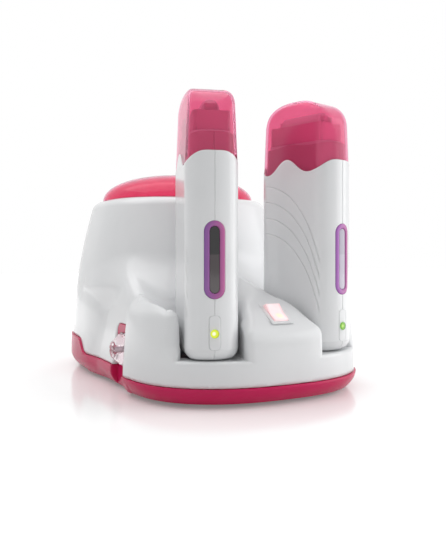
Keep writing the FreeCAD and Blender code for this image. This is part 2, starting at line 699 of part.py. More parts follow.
def make_pot():
    """Spun aluminium wax pot: rounded bottom corner, straight wall and a flat flange it hangs by."""
    inner = POT_RADIUS - POT_WALL
    pot = revolve_about_tower([
        (0, POT_BOTTOM), (POT_RADIUS, POT_BOTTOM), (POT_RADIUS, POT_SEAT), (POT_FLANGE, POT_SEAT),
        (POT_FLANGE, POT_SEAT + POT_WALL), (0, POT_SEAT + POT_WALL)])
    pot = pot.makeFillet(POT_ROUND, edges_near_height(pot, POT_BOTTOM))
    room = Part.makeCylinder(inner, POT_SEAT + 10.0 - POT_BOTTOM, V(0, TOWER_Y, POT_BOTTOM + POT_WALL))
    room = room.makeFillet(POT_ROUND - POT_WALL, edges_near_height(room, POT_BOTTOM + POT_WALL))
    return pot.cut(room)


LID_POWER = 2.35


def dome_curve(radius, rise, samples=9):
    """Quarter of (r/R)^p + (z/H)^2 = 1, from the rim to the crown."""
    points = []
    for step in range(samples + 1):
        angle = math.pi / 2 * step / samples
        points.append(V(radius * math.cos(angle) ** (2 / LID_POWER), 0, TOWER_TOP + FIT + rise * math.sin(angle)))
    points[-1].x = 0.0
    curve = Part.BSplineCurve()
    curve.interpolate(points)
    return curve.toShape()


def make_lid():
    """Clear dome that stands on the tower round the pot's flange."""
    base = TOWER_TOP + FIT
    outer = dome_curve(LID_RADIUS, LID_RISE)
    inner = dome_curve(LID_RADIUS - LID_WALL, LID_RISE - LID_WALL)
    rim = Part.makeLine(V(LID_RADIUS - LID_WALL, 0, base), V(LID_RADIUS, 0, base))
    crown = Part.makeLine(V(0, 0, base + LID_RISE), V(0, 0, base + LID_RISE - LID_WALL))
    face = Part.Face(Part.Wire(Part.__sortEdges__([rim, outer, crown, inner])))
    lid = face.revolve(V(0, 0, 0), V(0, 0, 1), 360)
    lid.translate(V(0, TOWER_Y, 0))
    return lid


# ---------------------------------------------------------- thermostat
THERMOSTAT_RADIUS = 12.0
THERMOSTAT_LENGTH = 15.0
SHAFT_LENGTH = 22.0


def along_knob(radius, start, length):
    """Cylinder on the knob's axis; start counts inwards from the panel's face."""
    return Part.makeCylinder(radius, length, V(-RECESS_X + start, KNOB_Y, KNOB_Z), V(1, 0, 0))


def make_thermostat():
    body = along_knob(THERMOSTAT_RADIUS, PAN_WALL + SNUG, THERMOSTAT_LENGTH)
    return body.cut(along_knob(SHAFT_RADIUS + SHAFT_CLEARANCE, -5.0, 20.0))


def make_shaft():
    return along_knob(SHAFT_RADIUS, -KNOB_LENGTH + 3.0, SHAFT_LENGTH)


def make_knob():
    """Skirted cone with a pointer groove across its face, bored for the shaft."""
    face = Part.Face(Part.makePolygon([V(x, 0, r) for x, r in (
        (0, 0), (0, KNOB_RADIUS), (-KNOB_SKIRT, KNOB_RADIUS), (-KNOB_LENGTH, KNOB_FACE_RADIUS),
        (-KNOB_LENGTH, 0), (0, 0))]))
    knob = face.revolve(V(0, 0, 0), V(1, 0, 0), 360)
    groove = box(-KNOB_LENGTH - 1.0, -KNOB_LENGTH + 1.0, -20.0, 20.0, -KNOB_MARK / 2, KNOB_MARK / 2)
    knob = knob.cut(groove)
    knob.translate(V(-RECESS_X - FIT, KNOB_Y, KNOB_Z))
    return knob.cut(make_shaft())


# -------------------------------------------------------- rocker switch
def across(radius, length):
    """Cylinder along X on the rocker's pivot."""
    return Part.makeCylinder(radius, length, V(-length / 2, 0, -ROCKER_PIVOT), V(1, 0, 0))


def make_switch_frame():
    """Switch body with a flange on the console and bores for the rocker's pivot pins."""
    block = switch_block(0.0, -SWITCH_DEPTH, 0.5).fuse(switch_block(0.0, 0.0, SWITCH_LIP, SWITCH_FLANGE))
    room = box(-SWITCH_OPEN_X, SWITCH_OPEN_X, -SWITCH_OPEN_Y, SWITCH_OPEN_Y, -SWITCH_DEPTH + 4.0, 5.0)
    bores = across(ROCKER_PIN + PIN_CLEARANCE, 2 * SWITCH_BODY_X - 1.0)
    return on_console(block.cut(room).cut(bores))


def make_rocker():
    """Rocker with a shallow V top; its ends are arcs about the pivot. Stored tipped to the on side."""
    width = ROCKER_WIDTH
    barrel = across(ROCKER_SWEEP, width)
    far = ROCKER_SWEEP + 2.0
    profile = Part.Face(Part.makePolygon([V(-width / 2, y, z) for y, z in (
        (-far, -ROCKER_PIVOT - 3.0), (far, -ROCKER_PIVOT - 3.0), (far, 3.6), (0, 1.7), (-far, 3.6),
        (-far, -ROCKER_PIVOT - 3.0))]))
    paddle = barrel.common(profile.extrude(V(width, 0, 0)))
    pins = across(ROCKER_PIN, 2 * SWITCH_BODY_X - 1.6)
    rocker = paddle.fuse(pins)
    rocker.rotate(V(0, 0, -ROCKER_PIVOT), V(1, 0, 0), ROCKER_THROW)
    return on_console(rocker)


# ------------------------------------------------- board, inlet, fasteners
def make_board():
    x, y = BOARD_LENGTH / 2, BOARD_WIDTH / 2
    return box(-x, x, BOARD_Y - y, BOARD_Y + y, BOARD_Z, BOARD_Z + BOARD_THICKNESS)


def make_board_parts():
    """Transformer, relay and smoothing capacitor standing on the board."""
    top = BOARD_Z + BOARD_THICKNESS
    transformer = box(-30.0, -8.0, BOARD_Y - 11.0, BOARD_Y + 11.0, top, top + 15.0)
    relay = box(2.0, 18.0, BOARD_Y - 6.0, BOARD_Y + 6.0, top, top + 12.0)
    capacitor = Part.makeCylinder(4.0, 13.0, V(25.0, BOARD_Y, top))
    return Part.makeCompound([transformer, relay, capacitor])


INLET_Z = (INLET_LOW + INLET_HIGH) / 2


def inlet_poles(radius, start, length):
    return [Part.makeCylinder(radius, length, V(side * INLET_PITCH / 2, REAR_Y - start, INLET_Z), V(0, 1, 0))
            for side in (-1, 1)]


def make_inlet():
    """Figure-of-eight mains inlet, flush in the rear wall."""
    face = REAR_Y - SNUG
    block = box(-INLET_HALF_WIDTH, INLET_HALF_WIDTH, REAR_Y - INLET_DEPTH, face, INLET_LOW, INLET_HIGH)
    socket_depth = INLET_DEPTH - 4.0
    waist = box(-INLET_PITCH / 2, INLET_PITCH / 2, REAR_Y - socket_depth, REAR_Y + 1.0,
                INLET_Z - INLET_POLE * 0.7, INLET_Z + INLET_POLE * 0.7)
    return block.cut(inlet_poles(INLET_POLE, socket_depth, socket_depth + 1.0) + [waist])


def make_inlet_pins():
    depth = INLET_DEPTH - 4.0
    return Part.makeCompound(inlet_poles(INLET_PIN, depth, depth - 3.0))


def make_feet():
    feet = []
    for x, y in FOOT_SPOTS:
        foot = Part.makeCylinder(FOOT_RADIUS, FOOT_HEIGHT + FOOT_SINK, V(x, y, 0))
        feet.append(foot.makeFillet(1.0, edges_near_height(foot, 0.0)))
    return Part.makeCompound(feet)


def make_screws():
    screws = []
    for x, y in BOSS_SPOTS:
        head = Part.makeCylinder(SCREW_HEAD_RADIUS, SCREW_HEAD_HEIGHT, V(x, y, FOOT_HEIGHT + SNUG))
        shank = Part.makeCylinder(SCREW_RADIUS, SCREW_LENGTH - 1.0, V(x, y, FOOT_HEIGHT + SNUG))
        screws.append(head.fuse(shank))
    return Part.makeCompound(screws)


# ------------------------------------------------------------ hand piece
FRONT = -GRIP_HALF_Y            # the window's narrow face
CHAMBER_FLOOR = CARTRIDGE_BOTTOM - 2.0
LEDGE = 176.0                   # where the wide chamber meets the narrower neck
NECK_BORE = -(NECK_INSET + CAP_DRAFT * (GRIP_NECK_TOP - CAP_START) + NECK_WALL)
CARTRIDGE_GROW = NECK_BORE - CARTRIDGE_GAP


def tapered(grow, z0, z1):
    """Grip section that narrows upwards with the cap's draft; grow holds at CAP_START."""
    low = grip_section(grow - CAP_DRAFT * (z0 - CAP_START), z0)
    high = grip_section(grow - CAP_DRAFT * (z1 - CAP_START), z1)
    return Part.makeLoft([low, high], True, True)


def groove_cutters():
    """Quarter-ellipse grooves that sweep from the back edge down to the window edge."""
    cutters = []
    for index in range(GROOVES):
        top = GROOVE_TOPS - index * GROOVE_STEP
        centre = V(0, GROOVE_CENTRE, top - GROOVE_DROP)
        rings = []
        for half in (GROOVE_WIDTH / 2, -GROOVE_WIDTH / 2):
            tall, wide = GROOVE_DROP + half, GROOVE_REACH + half
            ellipse = Part.Ellipse(centre + V(0, 0, tall), centre + V(0, -wide, 0), centre)
            rings.append(Part.Face(Part.Wire(ellipse.toShape())).extrude(V(4.0, 0, 0)))
        ring = rings[0].cut(rings[1])
        ring = ring.common(box(-1, 5, -36.0, GROOVE_CENTRE - 1.0, centre.z + 14.0, top + 2.0))
        right = ring.copy()
        right.translate(V(GRIP_THICKNESS / 2 - GROOVE_DEPTH, 0, 0))
        left = ring
        left.translate(V(-GRIP_THICKNESS / 2 - 4.0 + GROOVE_DEPTH, 0, 0))
        cutters += [right, left]
    return cutters


def led_panel_slot(gap, y0, y1):
    half = LED_PANEL_WIDTH / 2 + gap
    slot = box(-half, half, y0, y1, LED_PANEL_LOW - gap, LED_PANEL_HIGH + gap)
    upright = [edge for edge in slot.Edges if abs(edge.BoundBox.YLength - (y1 - y0)) < 0.01]
    return slot.makeFillet(LED_PANEL_CORNER + gap, upright)


def make_grip():
    """Both grip halves as one hollow form: foot, broad grooved faces, neck and openings."""
    form = grip_prism(0.0, GRIP_BOTTOM, WAVE_MIDDLE + WAVE_SWING + 4.0)
    form = form.makeFillet(GRIP_FOOT_ROUND, edges_near_height(form, GRIP_BOTTOM))
    form = form.cut(wave_band(0.0, 60.0)).fuse(tapered(-NECK_INSET, CAP_START, GRIP_NECK_TOP))
    floor = GRIP_BOTTOM + GRIP_WALL + 0.5
    rooms = [grip_prism(-GRIP_WALL, floor + 7.0, CHAMBER_FLOOR - 2.5),
             grip_prism(-GRIP_WALL - 5.0, floor, floor + 7.0),
             grip_prism(-GRIP_WALL, CHAMBER_FLOOR, LEDGE),
             grip_prism(NECK_BORE, LEDGE, GRIP_NECK_TOP + 1.0)]
    inside = FRONT + WINDOW_DEPTH
    rooms.append(stadium(WINDOW_WIDTH + 2 * SNUG, WINDOW_BOTTOM - SNUG, WINDOW_TOP + SNUG, FRONT - 4.0, inside))
    rooms.append(led_panel_slot(SNUG, FRONT - 4.0, inside))
    rooms.append(pin_pair(PAD_RADIUS + SNUG, GRIP_BOTTOM - 1.0, floor + 1.0))
    for room in rooms + groove_cutters():
        form = form.cut(room)
    return form


def half_of(shape, sign):
    """Split at the seam; each half keeps a hair's gap."""
    gap = SNUG / 2
    if sign > 0:
        return shape.common(box(gap, 60, -80, 80, 0, 300))
    return shape.common(box(-60, -gap, -80, 80, 0, 300))


def window_slot(gap, y1):
    rim = WINDOW_RIM
    return stadium(WINDOW_WIDTH - 2 * rim + 2 * gap, WINDOW_BOTTOM + rim - gap, WINDOW_TOP - rim + gap,
                   FRONT - 6.0, y1)


def make_bezel():
    inside = FRONT + WINDOW_DEPTH
    ring = stadium(WINDOW_WIDTH, WINDOW_BOTTOM, WINDOW_TOP, FRONT - 6.0, inside)
    ring = ring.common(grip_prism(0.5, WINDOW_BOTTOM - 2.0, WINDOW_TOP + 2.0))
    return ring.cut(window_slot(0.0, inside))


def make_window_lens():
    lens = window_slot(-SNUG, FRONT + WINDOW_DEPTH)
    return lens.common(grip_prism(-0.3, WINDOW_BOTTOM - 2.0, WINDOW_TOP + 2.0))


def led_barrel(radius):
    return Part.makeCylinder(radius, 12.0, V(0, FRONT - 6.0, LED_Z), V(0, 1, 0))


def make_led_panel():
    panel = led_panel_slot(0.0, FRONT - 4.0, FRONT + WINDOW_DEPTH)
    panel = panel.common(grip_prism(0.0, LED_PANEL_LOW - 2.0, LED_PANEL_HIGH + 2.0))
    return panel.cut(led_barrel(LED_RADIUS + SNUG))


def make_led_lens():
    inside = box(-6, 6, FRONT - 3.0, FRONT + WINDOW_DEPTH, LED_Z - 6, LED_Z + 6)
    lens = led_barrel(LED_RADIUS).common(grip_prism(0.8, LED_Z - 8.0, LED_Z + 8.0)).common(inside)
    return lens


def make_sleeve():
    """Cast warming sleeve round the cartridge, open where the window looks in."""
    low, high = LED_PANEL_HIGH + 1.0, LEDGE - 20.0
    ring = grip_prism(-GRIP_WALL - SNUG, low, high).cut(grip_prism(NECK_BORE - 0.1, low - 1.0, high + 1.0))
    behind_bezel = FRONT + WINDOW_DEPTH + FIT
    seat = stadium(WINDOW_WIDTH + 2 * FIT, WINDOW_BOTTOM - FIT, WINDOW_TOP + FIT, FRONT - 1.0, behind_bezel)
    ring = ring.cut(seat)
    return ring.cut(stadium(WINDOW_WIDTH - 4.0, WINDOW_BOTTOM, WINDOW_TOP, FRONT - 1.0, FRONT + 12.0))


def make_grip_board():
    front = FRONT + WINDOW_DEPTH + 1.4
    return box(-8.0, 8.0, front, front + 1.6, GRIP_BOTTOM + 10.0, CHAMBER_FLOOR - 2.8)


def make_pads():
    return pin_pair(PAD_RADIUS, PAD_FACE, GRIP_BOTTOM + GRIP_WALL + 1.5)


SHOULDER = GRIP_NECK_TOP - 2.0  # top of the cartridge body


def make_cartridge():
    body = grip_prism(CARTRIDGE_GROW, CARTRIDGE_BOTTOM, SHOULDER)
    return body.makeFillet(3.0, edges_near_height(body, CARTRIDGE_BOTTOM))


def roller_barrel(radius, length):
    return Part.makeCylinder(radius, length, V(0, -length / 2, ROLLER_Z), V(0, 1, 0))


def make_head():
    """Roller cradle clipped on the cartridge: a block with two cheeks bored for the axle."""
    x, y = HEAD_THICKNESS / 2, HEAD_BREADTH / 2
    head = box(-x, x, -y, y, SHOULDER, HEAD_TOP)
    upright = [edge for edge in head.Edges if edge.BoundBox.ZLength > 5.0]
    head = head.makeFillet(3.0, upright)
    inner = ROLLER_LENGTH / 2 + ROLLER_SINK
    for sign in (-1, 1):
        y0, y1 = sorted((sign * inner, sign * (inner + 3.4)))
        cheek = box(-5.0, 5.0, y0, y1, HEAD_TOP - 2.0, ROLLER_Z + 3.6)
        head = head.fuse(cheek)
    head = head.cut(roller_barrel(ROLLER_RADIUS + ROLLER_SINK, 2 * inner))
    return head.cut(roller_barrel(AXLE_RADIUS + AXLE_CLEARANCE, 2 * inner + 5.0))


def make_roller():
    barrel = roller_barrel(ROLLER_RADIUS, ROLLER_LENGTH)
    ends = [edge for edge in barrel.Edges if edge.BoundBox.YLength < 0.01]
    return barrel.makeFillet(1.2, ends).fuse(roller_barrel(AXLE_RADIUS, ROLLER_LENGTH + 5.4))


def arch_prism(shrink):
    """Tall block with an elliptical top, seen from the broad side."""
    reach = GRIP_HALF_Y + 0.4 - shrink
    top = CAP_TOP - shrink
    spring = CAP_TOP - CAP_ARCH
    ellipse = Part.Ellipse(V(0, 0, top), V(0, reach, spring), V(0, 0, spring))
    barrel = Part.Face(Part.Wire(ellipse.toShape())).extrude(V(80.0, 0, 0))
    barrel.translate(V(-40.0, 0, 0))
    return barrel.fuse(box(-40.0, 40.0, -reach, reach, 150.0, spring))


def make_cap():
    """Clear arched cap whose lower edge is a wave with a crest on each face."""
    low = WAVE_MIDDLE - WAVE_SWING - 8.0
    outer = tapered(0.0, low, CAP_TOP + 1.0).common(arch_prism(0.0))
    inner_grow = -NECK_INSET + FIT
    inner = tapered(inner_grow, low - 2.0, CAP_TOP + 1.0).common(arch_prism(CAP_WALL))
    return outer.cut(wave_band(FIT, low - WAVE_MIDDLE - 4 * WAVE_SWING)).cut(inner)


# ------------------------------------------------------------------ parts
def save(name, shape):
    shape.exportStep("parts/" + name + ".step")
    print(name, "solids", len(shape.Solids), "volume", round(shape.Volume), "valid", shape.isValid())


STATION = {
    "base_pan": make_pan,
    "upper_housing": make_housing,
    "well_liner": make_well,
    "well_seal": make_seal,
    "band_heater": make_band_heater,
    "thermal_cutoff": make_cutoff,
    "wax_pot": make_pot,
    "pot_lid": make_lid,
    "thermostat": make_thermostat,
    "knob_shaft": make_shaft,
    "thermostat_knob": make_knob,
    "switch_frame": make_switch_frame,
    "switch_rocker": make_rocker,
    "control_board": make_board,
    "board_parts": make_board_parts,
    "power_inlet": make_inlet,
    "inlet_pins": make_inlet_pins,
    "rubber_feet": make_feet,
    "case_screws": make_screws,
}

HAND_PIECE = {
    "contact_block": make_contact_block,
    "front_contact_pin": make_front_pin,
    "rear_contact_pin": make_rear_pin,
    "grip_board": make_grip_board,
    "contact_pads": make_pads,
    "window_bezel": make_bezel,
    "window_lens": make_window_lens,
    "led_panel": make_led_panel,
    "led_lens": make_led_lens,
    "warming_sleeve": make_sleeve,
    "cartridge": make_cartridge,
    "cartridge_head": make_head,
    "roller": make_roller,
    "cap": make_cap,
}

for name, make in STATION.items():
    save(name, make())

grip = make_grip()
docked = {"grip_outer_shell": half_of(grip, 1), "grip_inner_shell": half_of(grip, -1)}
docked.update((name, make()) for name, make in HAND_PIECE.items())
for side, word in ((-1, "left"), (1, "right")):
    for name, shape in docked.items():
        save(word + "_" + name, dock_place(mirror_for(shape, side), side))
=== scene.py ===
import json
import math
from functools import partial, reduce

import bmesh
import bpy
import numpy as np
from mathutils import Euler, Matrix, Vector


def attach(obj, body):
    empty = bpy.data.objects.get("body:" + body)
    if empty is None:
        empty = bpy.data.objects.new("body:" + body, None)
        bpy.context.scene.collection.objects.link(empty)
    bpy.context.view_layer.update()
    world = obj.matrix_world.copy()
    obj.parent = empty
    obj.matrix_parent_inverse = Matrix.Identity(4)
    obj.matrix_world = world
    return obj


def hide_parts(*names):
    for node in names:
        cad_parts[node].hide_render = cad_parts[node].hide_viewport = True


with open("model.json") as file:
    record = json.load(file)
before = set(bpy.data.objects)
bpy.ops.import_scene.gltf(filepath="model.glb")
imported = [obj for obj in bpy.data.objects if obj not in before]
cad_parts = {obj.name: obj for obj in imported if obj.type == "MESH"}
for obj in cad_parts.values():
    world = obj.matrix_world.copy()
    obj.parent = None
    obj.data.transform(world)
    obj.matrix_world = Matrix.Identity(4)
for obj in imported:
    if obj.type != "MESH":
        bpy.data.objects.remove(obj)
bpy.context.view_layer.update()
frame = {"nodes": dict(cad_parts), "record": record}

# ------------------------------------------------------------- housing
# The white upper housing is one glossy ABS moulding: a round tower for the
# pot, a waist, and a front lobe with two docks and a sloping console. Every
# edge of it is rounded, and it stands on the pan's rim all round.
MM = 0.001
TOWER_Y, TOWER_HALF, TOWER_TOP, TOWER_POWER = 56.5, 106.3, 172, 2.6
TOWER_LEAN, LEAN_FROM, LEAN_SPAN = 19.8, 20, 145
WAIST_HALF, WAIST_FRONT, WAIST_BACK = 102.5, -78, 44.5
LOBE_HALF, LOBE_Y, LOBE_FRONT, LOBE_BACK = 105, -72.5, 90.3, 17.0
LOBE_POWER, LOBE_DRAFT = 2.4, 0.00122
DECK_LINE = np.array([(-190, 22), (-172, 40), (-154, 60), (-141, 70), (-109, 87),
                      (-79, 98), (-52, 105.5), (-20, 112), (60, 114), (120, 114)], float)
BEVEL_X, BEVEL_Y, BEVEL_Z = 72, -74, 69.8
DOCK_X, DOCK_Y, DOCK_FLOOR, DOCK_SPLAY = 49.0, -112.0, 36, math.radians(15.7)
ROOM_OUTER, ROOM_INNER, ROOM_REAR, ROOM_TURN = 23.2, 24.15, 43.3, 16.6
CONTACT_HALF_X, CONTACT_HALF_Y, CONTACT_FLOOR = 6.1, 20.1, 22
DISH_Z, DISH_RISE = 56, 34
RIM_FRONT, RIM_SIDE, RIM_STEP = 15.5, 20, 14
RECESS_FRONT, RECESS_BACK, RECESS_TOP, RECESS_FLOOR_X = -66, -34, 57, -94.6
WELL_RADIUS, WELL_FLOOR = 69.4, 80
SWITCH_Y, SWITCH_Z, SWITCH_TILT = -140.656, 69.449, math.radians(32)
SEAT_WIDE, SEAT_LONG, SHAFT_WIDE, SHAFT_LONG, SHAFT_DEEP = 9.9, 14.0, 8.5, 12.6, 24
HOUSING_CELL = 2.0


def hermite_table(x, table):
    """Height on a smooth line through the table's points: cubic spans, their slopes central differences."""
    xs, ys = table[:, 0], table[:, 1]
    slopes = np.gradient(ys, xs)
    i = np.clip(np.searchsorted(xs, x) - 1, 0, len(xs) - 2)
    span = xs[i + 1] - xs[i]
    t = np.clip((x - xs[i]) / span, 0, 1)
    return (ys[i] * (1 + 2 * t) * (1 - t) ** 2 + ys[i + 1] * t ** 2 * (3 - 2 * t)
            + span * (slopes[i] * t * (1 - t) ** 2 - slopes[i + 1] * t ** 2 * (1 - t)))


def join(a, b, radius):
    """Union of two solids given as distances, with a fillet of that radius in the inner corner."""
    u, v = np.maximum(radius - a, 0), np.maximum(radius - b, 0)
    return np.maximum(radius, np.minimum(a, b)) - np.hypot(u, v)


def trim(a, b, radius):
    """Overlap of two solids given as distances, with the outer edge rounded to that radius."""
    u, v = np.maximum(radius + a, 0), np.maximum(radius + b, 0)
    return np.minimum(-radius, np.maximum(a, b)) + np.hypot(u, v)


def overlap(*solids):
    """Overlap of solids given as distances, with sharp edges."""
    return reduce(np.maximum, solids)


def ease(value, low, high):
    """0 below low, 1 above high and 3t^2 - 2t^3 between them."""
    t = np.clip((value - low) / (high - low), 0, 1)
    return t * t * (3 - 2 * t)


def slab_gap(value, low, high):
    """Distance outside the span from low to high, negative within it."""
    return np.maximum(low - value, value - high)


def tower_wall(x, y, z):
    """Distance from the tower's wall: a power-2.6 oval whose half width shrinks as the square of height."""
    half = TOWER_HALF - TOWER_LEAN * (np.maximum(z - LEAN_FROM, 0) / LEAN_SPAN) ** 2
    return (np.abs(x) ** TOWER_POWER + np.abs(y - TOWER_Y) ** TOWER_POWER) ** (1 / TOWER_POWER) - half


def lobe_wall(x, y, z):
    """Distance from the front lobe's wall: a power-2.4 oval, deep before its middle and shallow behind."""
    draft = LOBE_DRAFT * np.clip(z - RIM_FRONT, 0, 90) ** 2
    v = y - LOBE_Y
    depth = np.where(v > 0, LOBE_BACK, LOBE_FRONT) - draft
    norm = (np.abs(x) / (LOBE_HALF - draft)) ** LOBE_POWER + (np.abs(v) / depth) ** LOBE_POWER
    norm = norm ** (1 / LOBE_POWER)
    return np.hypot(x, v) * (norm - 1) / np.maximum(norm, 0.3)


def waist_wall(x, y, z):
    """Distance from the straight-sided waist between lobe and tower, which leans in with height."""
    half = WAIST_HALF - 15.5 * (np.maximum(z - RIM_FRONT, 0) / 94) ** 1.3
    return np.maximum(np.abs(x) - half, slab_gap(y, WAIST_FRONT, WAIST_BACK))


def front_wall(x, y, z):
    """Distance from the side wall in front of the tower, waist and lobe run together."""
    return join(waist_wall(x, y, z), lobe_wall(x, y, z), 5.0)


def over_deck(x, y, z):
    """Height above the crowned deck, whose crown flattens towards the front."""
    crown = 0.0014 * np.clip((y + 141) / 68.5, 0.25, 1)
    return 0.88 * (z - hermite_table(y, DECK_LINE) + crown * x * x)


def over_bevel(x, y, z, side):
    """Distance from the plane that bevels the deck's side edge: it stands on a line that climbs to the rear,
    leans outwards from the side wall, and lifts off the deck towards the middle."""
    foot = BEVEL_Z + 0.3 * (y - BEVEL_Y + np.hypot(y - BEVEL_Y, 7))
    return 0.6 * (z - foot) + 0.8 * side - np.maximum(BEVEL_X - np.abs(x), 0)


def dock_frame(x, y):
    """Both docks folded into one: coordinates about the nearer dock, u outwards and v backwards."""
    dx, dy = np.abs(x) - DOCK_X, y - DOCK_Y
    c, s = math.cos(DOCK_SPLAY), math.sin(DOCK_SPLAY)
    return c * dx + s * dy, -s * dx + c * dy


def slot_plan(u, v, outer, inner, rear, turn):
    """Distance from an upright slot open to the front, seen from above, its rear corners rounded."""
    return trim(np.maximum(u - outer, -inner - u), v - rear, turn)


def dock_room(u, v, z):
    """Distance from a dock's room: a round-backed slot round the hand piece that flares at its mouth."""
    straight = slot_plan(u, v, ROOM_OUTER, ROOM_INNER, ROOM_REAR, ROOM_TURN)
    mouth = np.where(u > 0, join(straight, v + 36, 18.0), join(straight, v + 44, 11.0))
    return np.maximum(mouth, DOCK_FLOOR - z)


def dock_lip(u, v, z):
    """Radius of the edge round a dock's room, which grows with height on the front of either wall."""
    outer = 10 * ease(z, 34, 48) * ease(-v, 0, 22)
    inner = 9 * ease(z, 50, 68) * ease(-v, -15, 10)
    return 2.6 + np.where(u > 0, outer, inner)


def dock_dish(u, v, z):
    """Distance from the dish round a dock's rear and outer sides, which opens out ever faster upwards."""
    rise = np.clip((z - DISH_Z) / DISH_RISE, 0, 2)
    rise = rise * (0.6 + 0.4 * rise)
    plan = slot_plan(u, v, 21.15 + 27 * rise, 20.0, 40.3 + 12 * rise, 13.6 + 9 * rise)
    return 0.8 * np.maximum(plan, -20 - v + 8 * (1 - rise))


def recess_room(y, z):
    """Distance from the knob's recess seen from the side, with its upper rear corner rounded."""
    return np.maximum(trim(y - RECESS_BACK, z - RECESS_TOP, 7.0), RECESS_FRONT - y)


def seam_height(y):
    """Height of the pan's rim: low in front, higher along the sides, and an S up to the rear."""
    t = np.clip((y - 34) / 30, 0, 1)
    sweep = t ** 2.4 / (t ** 2.4 + (1 - t) ** 2.4)
    return np.where(y < RECESS_FRONT, RIM_FRONT, RIM_SIDE + RIM_STEP * sweep)


def deck_solid(x, y, z):
    """Distance from the deck: the front wall under the crowned top, less the dishes and the side bevel."""
    side = front_wall(x, y, z)
    u, v = dock_frame(x, y)
    deck = trim(side, over_deck(x, y, z), 4 + 7 * ease(y, -78, -55))
    deck = trim(deck, -dock_dish(u, v, z), 7 + 15 * ease(v, -22, 12))
    return trim(deck, over_bevel(x, y, z, side), 1.8)


def switch_hole(x, y, z):
    """Distance from the switch's seat, sunk square into the sloping console, and the shaft below it."""
    dy, dz = y - SWITCH_Y, z - SWITCH_Z
    along = dy * math.cos(SWITCH_TILT) + dz * math.sin(SWITCH_TILT)
    above = dz * math.cos(SWITCH_TILT) - dy * math.sin(SWITCH_TILT)
    seat = overlap(np.abs(x) - SEAT_WIDE, np.abs(along) - SEAT_LONG, -above)
    shaft = overlap(np.abs(x) - SHAFT_WIDE, np.abs(along) - SHAFT_LONG, slab_gap(above, -SHAFT_DEEP, 1))
    return np.minimum(seat, shaft)


def housing_solid(x, y, z):
    """Distance from the housing: tower and deck run together, less docks, recess, well and switch hole."""
    u, v = dock_frame(x, y)
    tower = trim(tower_wall(x, y, z), z - TOWER_TOP, 8.0)
    body = join(tower, deck_solid(x, y, z), 2.5 + 13.5 * ease(z, 62, 92))
    body = trim(body, -dock_room(u, v, z), dock_lip(u, v, z))
    body = trim(body, seam_height(y) + 0.5 - z, 0.8)
    body = trim(body, -np.maximum(recess_room(y, z), x - RECESS_FLOOR_X), 1.4)
    well = np.maximum(np.hypot(x, y - TOWER_Y) - WELL_RADIUS, WELL_FLOOR - z)
    body = trim(body, -well, 0.8)
    contact_hole = overlap(np.abs(u) - CONTACT_HALF_X, np.abs(v) - CONTACT_HALF_Y, CONTACT_FLOOR - z)
    return overlap(body, -contact_hole, -switch_hole(x, y, z))


def slope(solid, points, reach=0.02):
    """Outward unit normal of a solid given as a distance, by central differences."""
    shifts = reach * np.eye(3)
    rise = np.stack([solid(*(points + s).T) - solid(*(points - s).T) for s in shifts], 1)
    return rise / np.maximum(np.linalg.norm(rise, axis=1, keepdims=True), 1e-9)


def crossings(solid, value, origin, step, axis):
    """Where the grid's edges along one axis cross the skin: the four cells round each such edge, the crossing
    found by false position, and whether the face there turns over."""
    a = value[tuple(slice(None, -1) if k == axis else slice(1, -1) for k in range(3))]
    b = value[tuple(slice(1, None) if k == axis else slice(1, -1) for k in range(3))]
    edge = np.argwhere((a < 0) != (b < 0))
    f0, f1 = a[tuple(edge.T)], b[tuple(edge.T)]
    flip = (f0 < 0) != (axis == 1)
    along = np.eye(3, dtype=int)[axis]
    base = edge + (1 - along)
    start = origin + base * step
    t0, t1 = np.zeros(len(f0)), np.ones(len(f0))
    for _ in range(4):
        t = np.clip(t0 - f0 * (t1 - t0) / (f1 - f0), t0 + 0.02 * (t1 - t0), t1 - 0.02 * (t1 - t0))
        f = solid(*(start + t[:, None] * step * along).T)
        same = (f < 0) == (f0 < 0)
        t0, f0 = np.where(same, t, t0), np.where(same, f, f0)
        t1, f1 = np.where(same, t1, t), np.where(same, f1, f)
    points = start + (t0 - f0 * (t1 - t0) / (f1 - f0))[:, None] * step * along
    cells = [n - 1 for n in value.shape]
    first, second = np.delete(np.eye(3, dtype=int), axis, 0)
    around = [base - i * first - j * second for i, j in ((0, 0), (1, 0), (1, 1), (0, 1))]
    quads = np.stack([np.ravel_multi_index(tuple(cell.T), cells) for cell in around], 1)
    return quads, points, flip


def best_points(quads, points, normals, count):
    """The point of each cell that fits the tangent planes at its crossings best, by least squares drawn a
    little towards the crossings' mean. quads gives the four cells of each crossing."""
    def gather(values):
        return np.bincount(quads.ravel(), np.repeat(values, 4), count)

    weight = gather(np.ones(len(points)))
    middle = np.stack([gather(p) for p in points.T], 1) / weight[:, None]
    offset = (normals * points).sum(1)
    right = np.stack([gather(n * offset) for n in normals.T], 1)
    matrix = np.stack([gather(a * b) for a in normals.T for b in normals.T], 1).reshape(-1, 3, 3)
    right -= np.einsum("nij,nj->ni", matrix, middle)
    matrix += 0.06 * np.eye(3)
    return middle + np.linalg.solve(matrix, right[..., None])[..., 0]


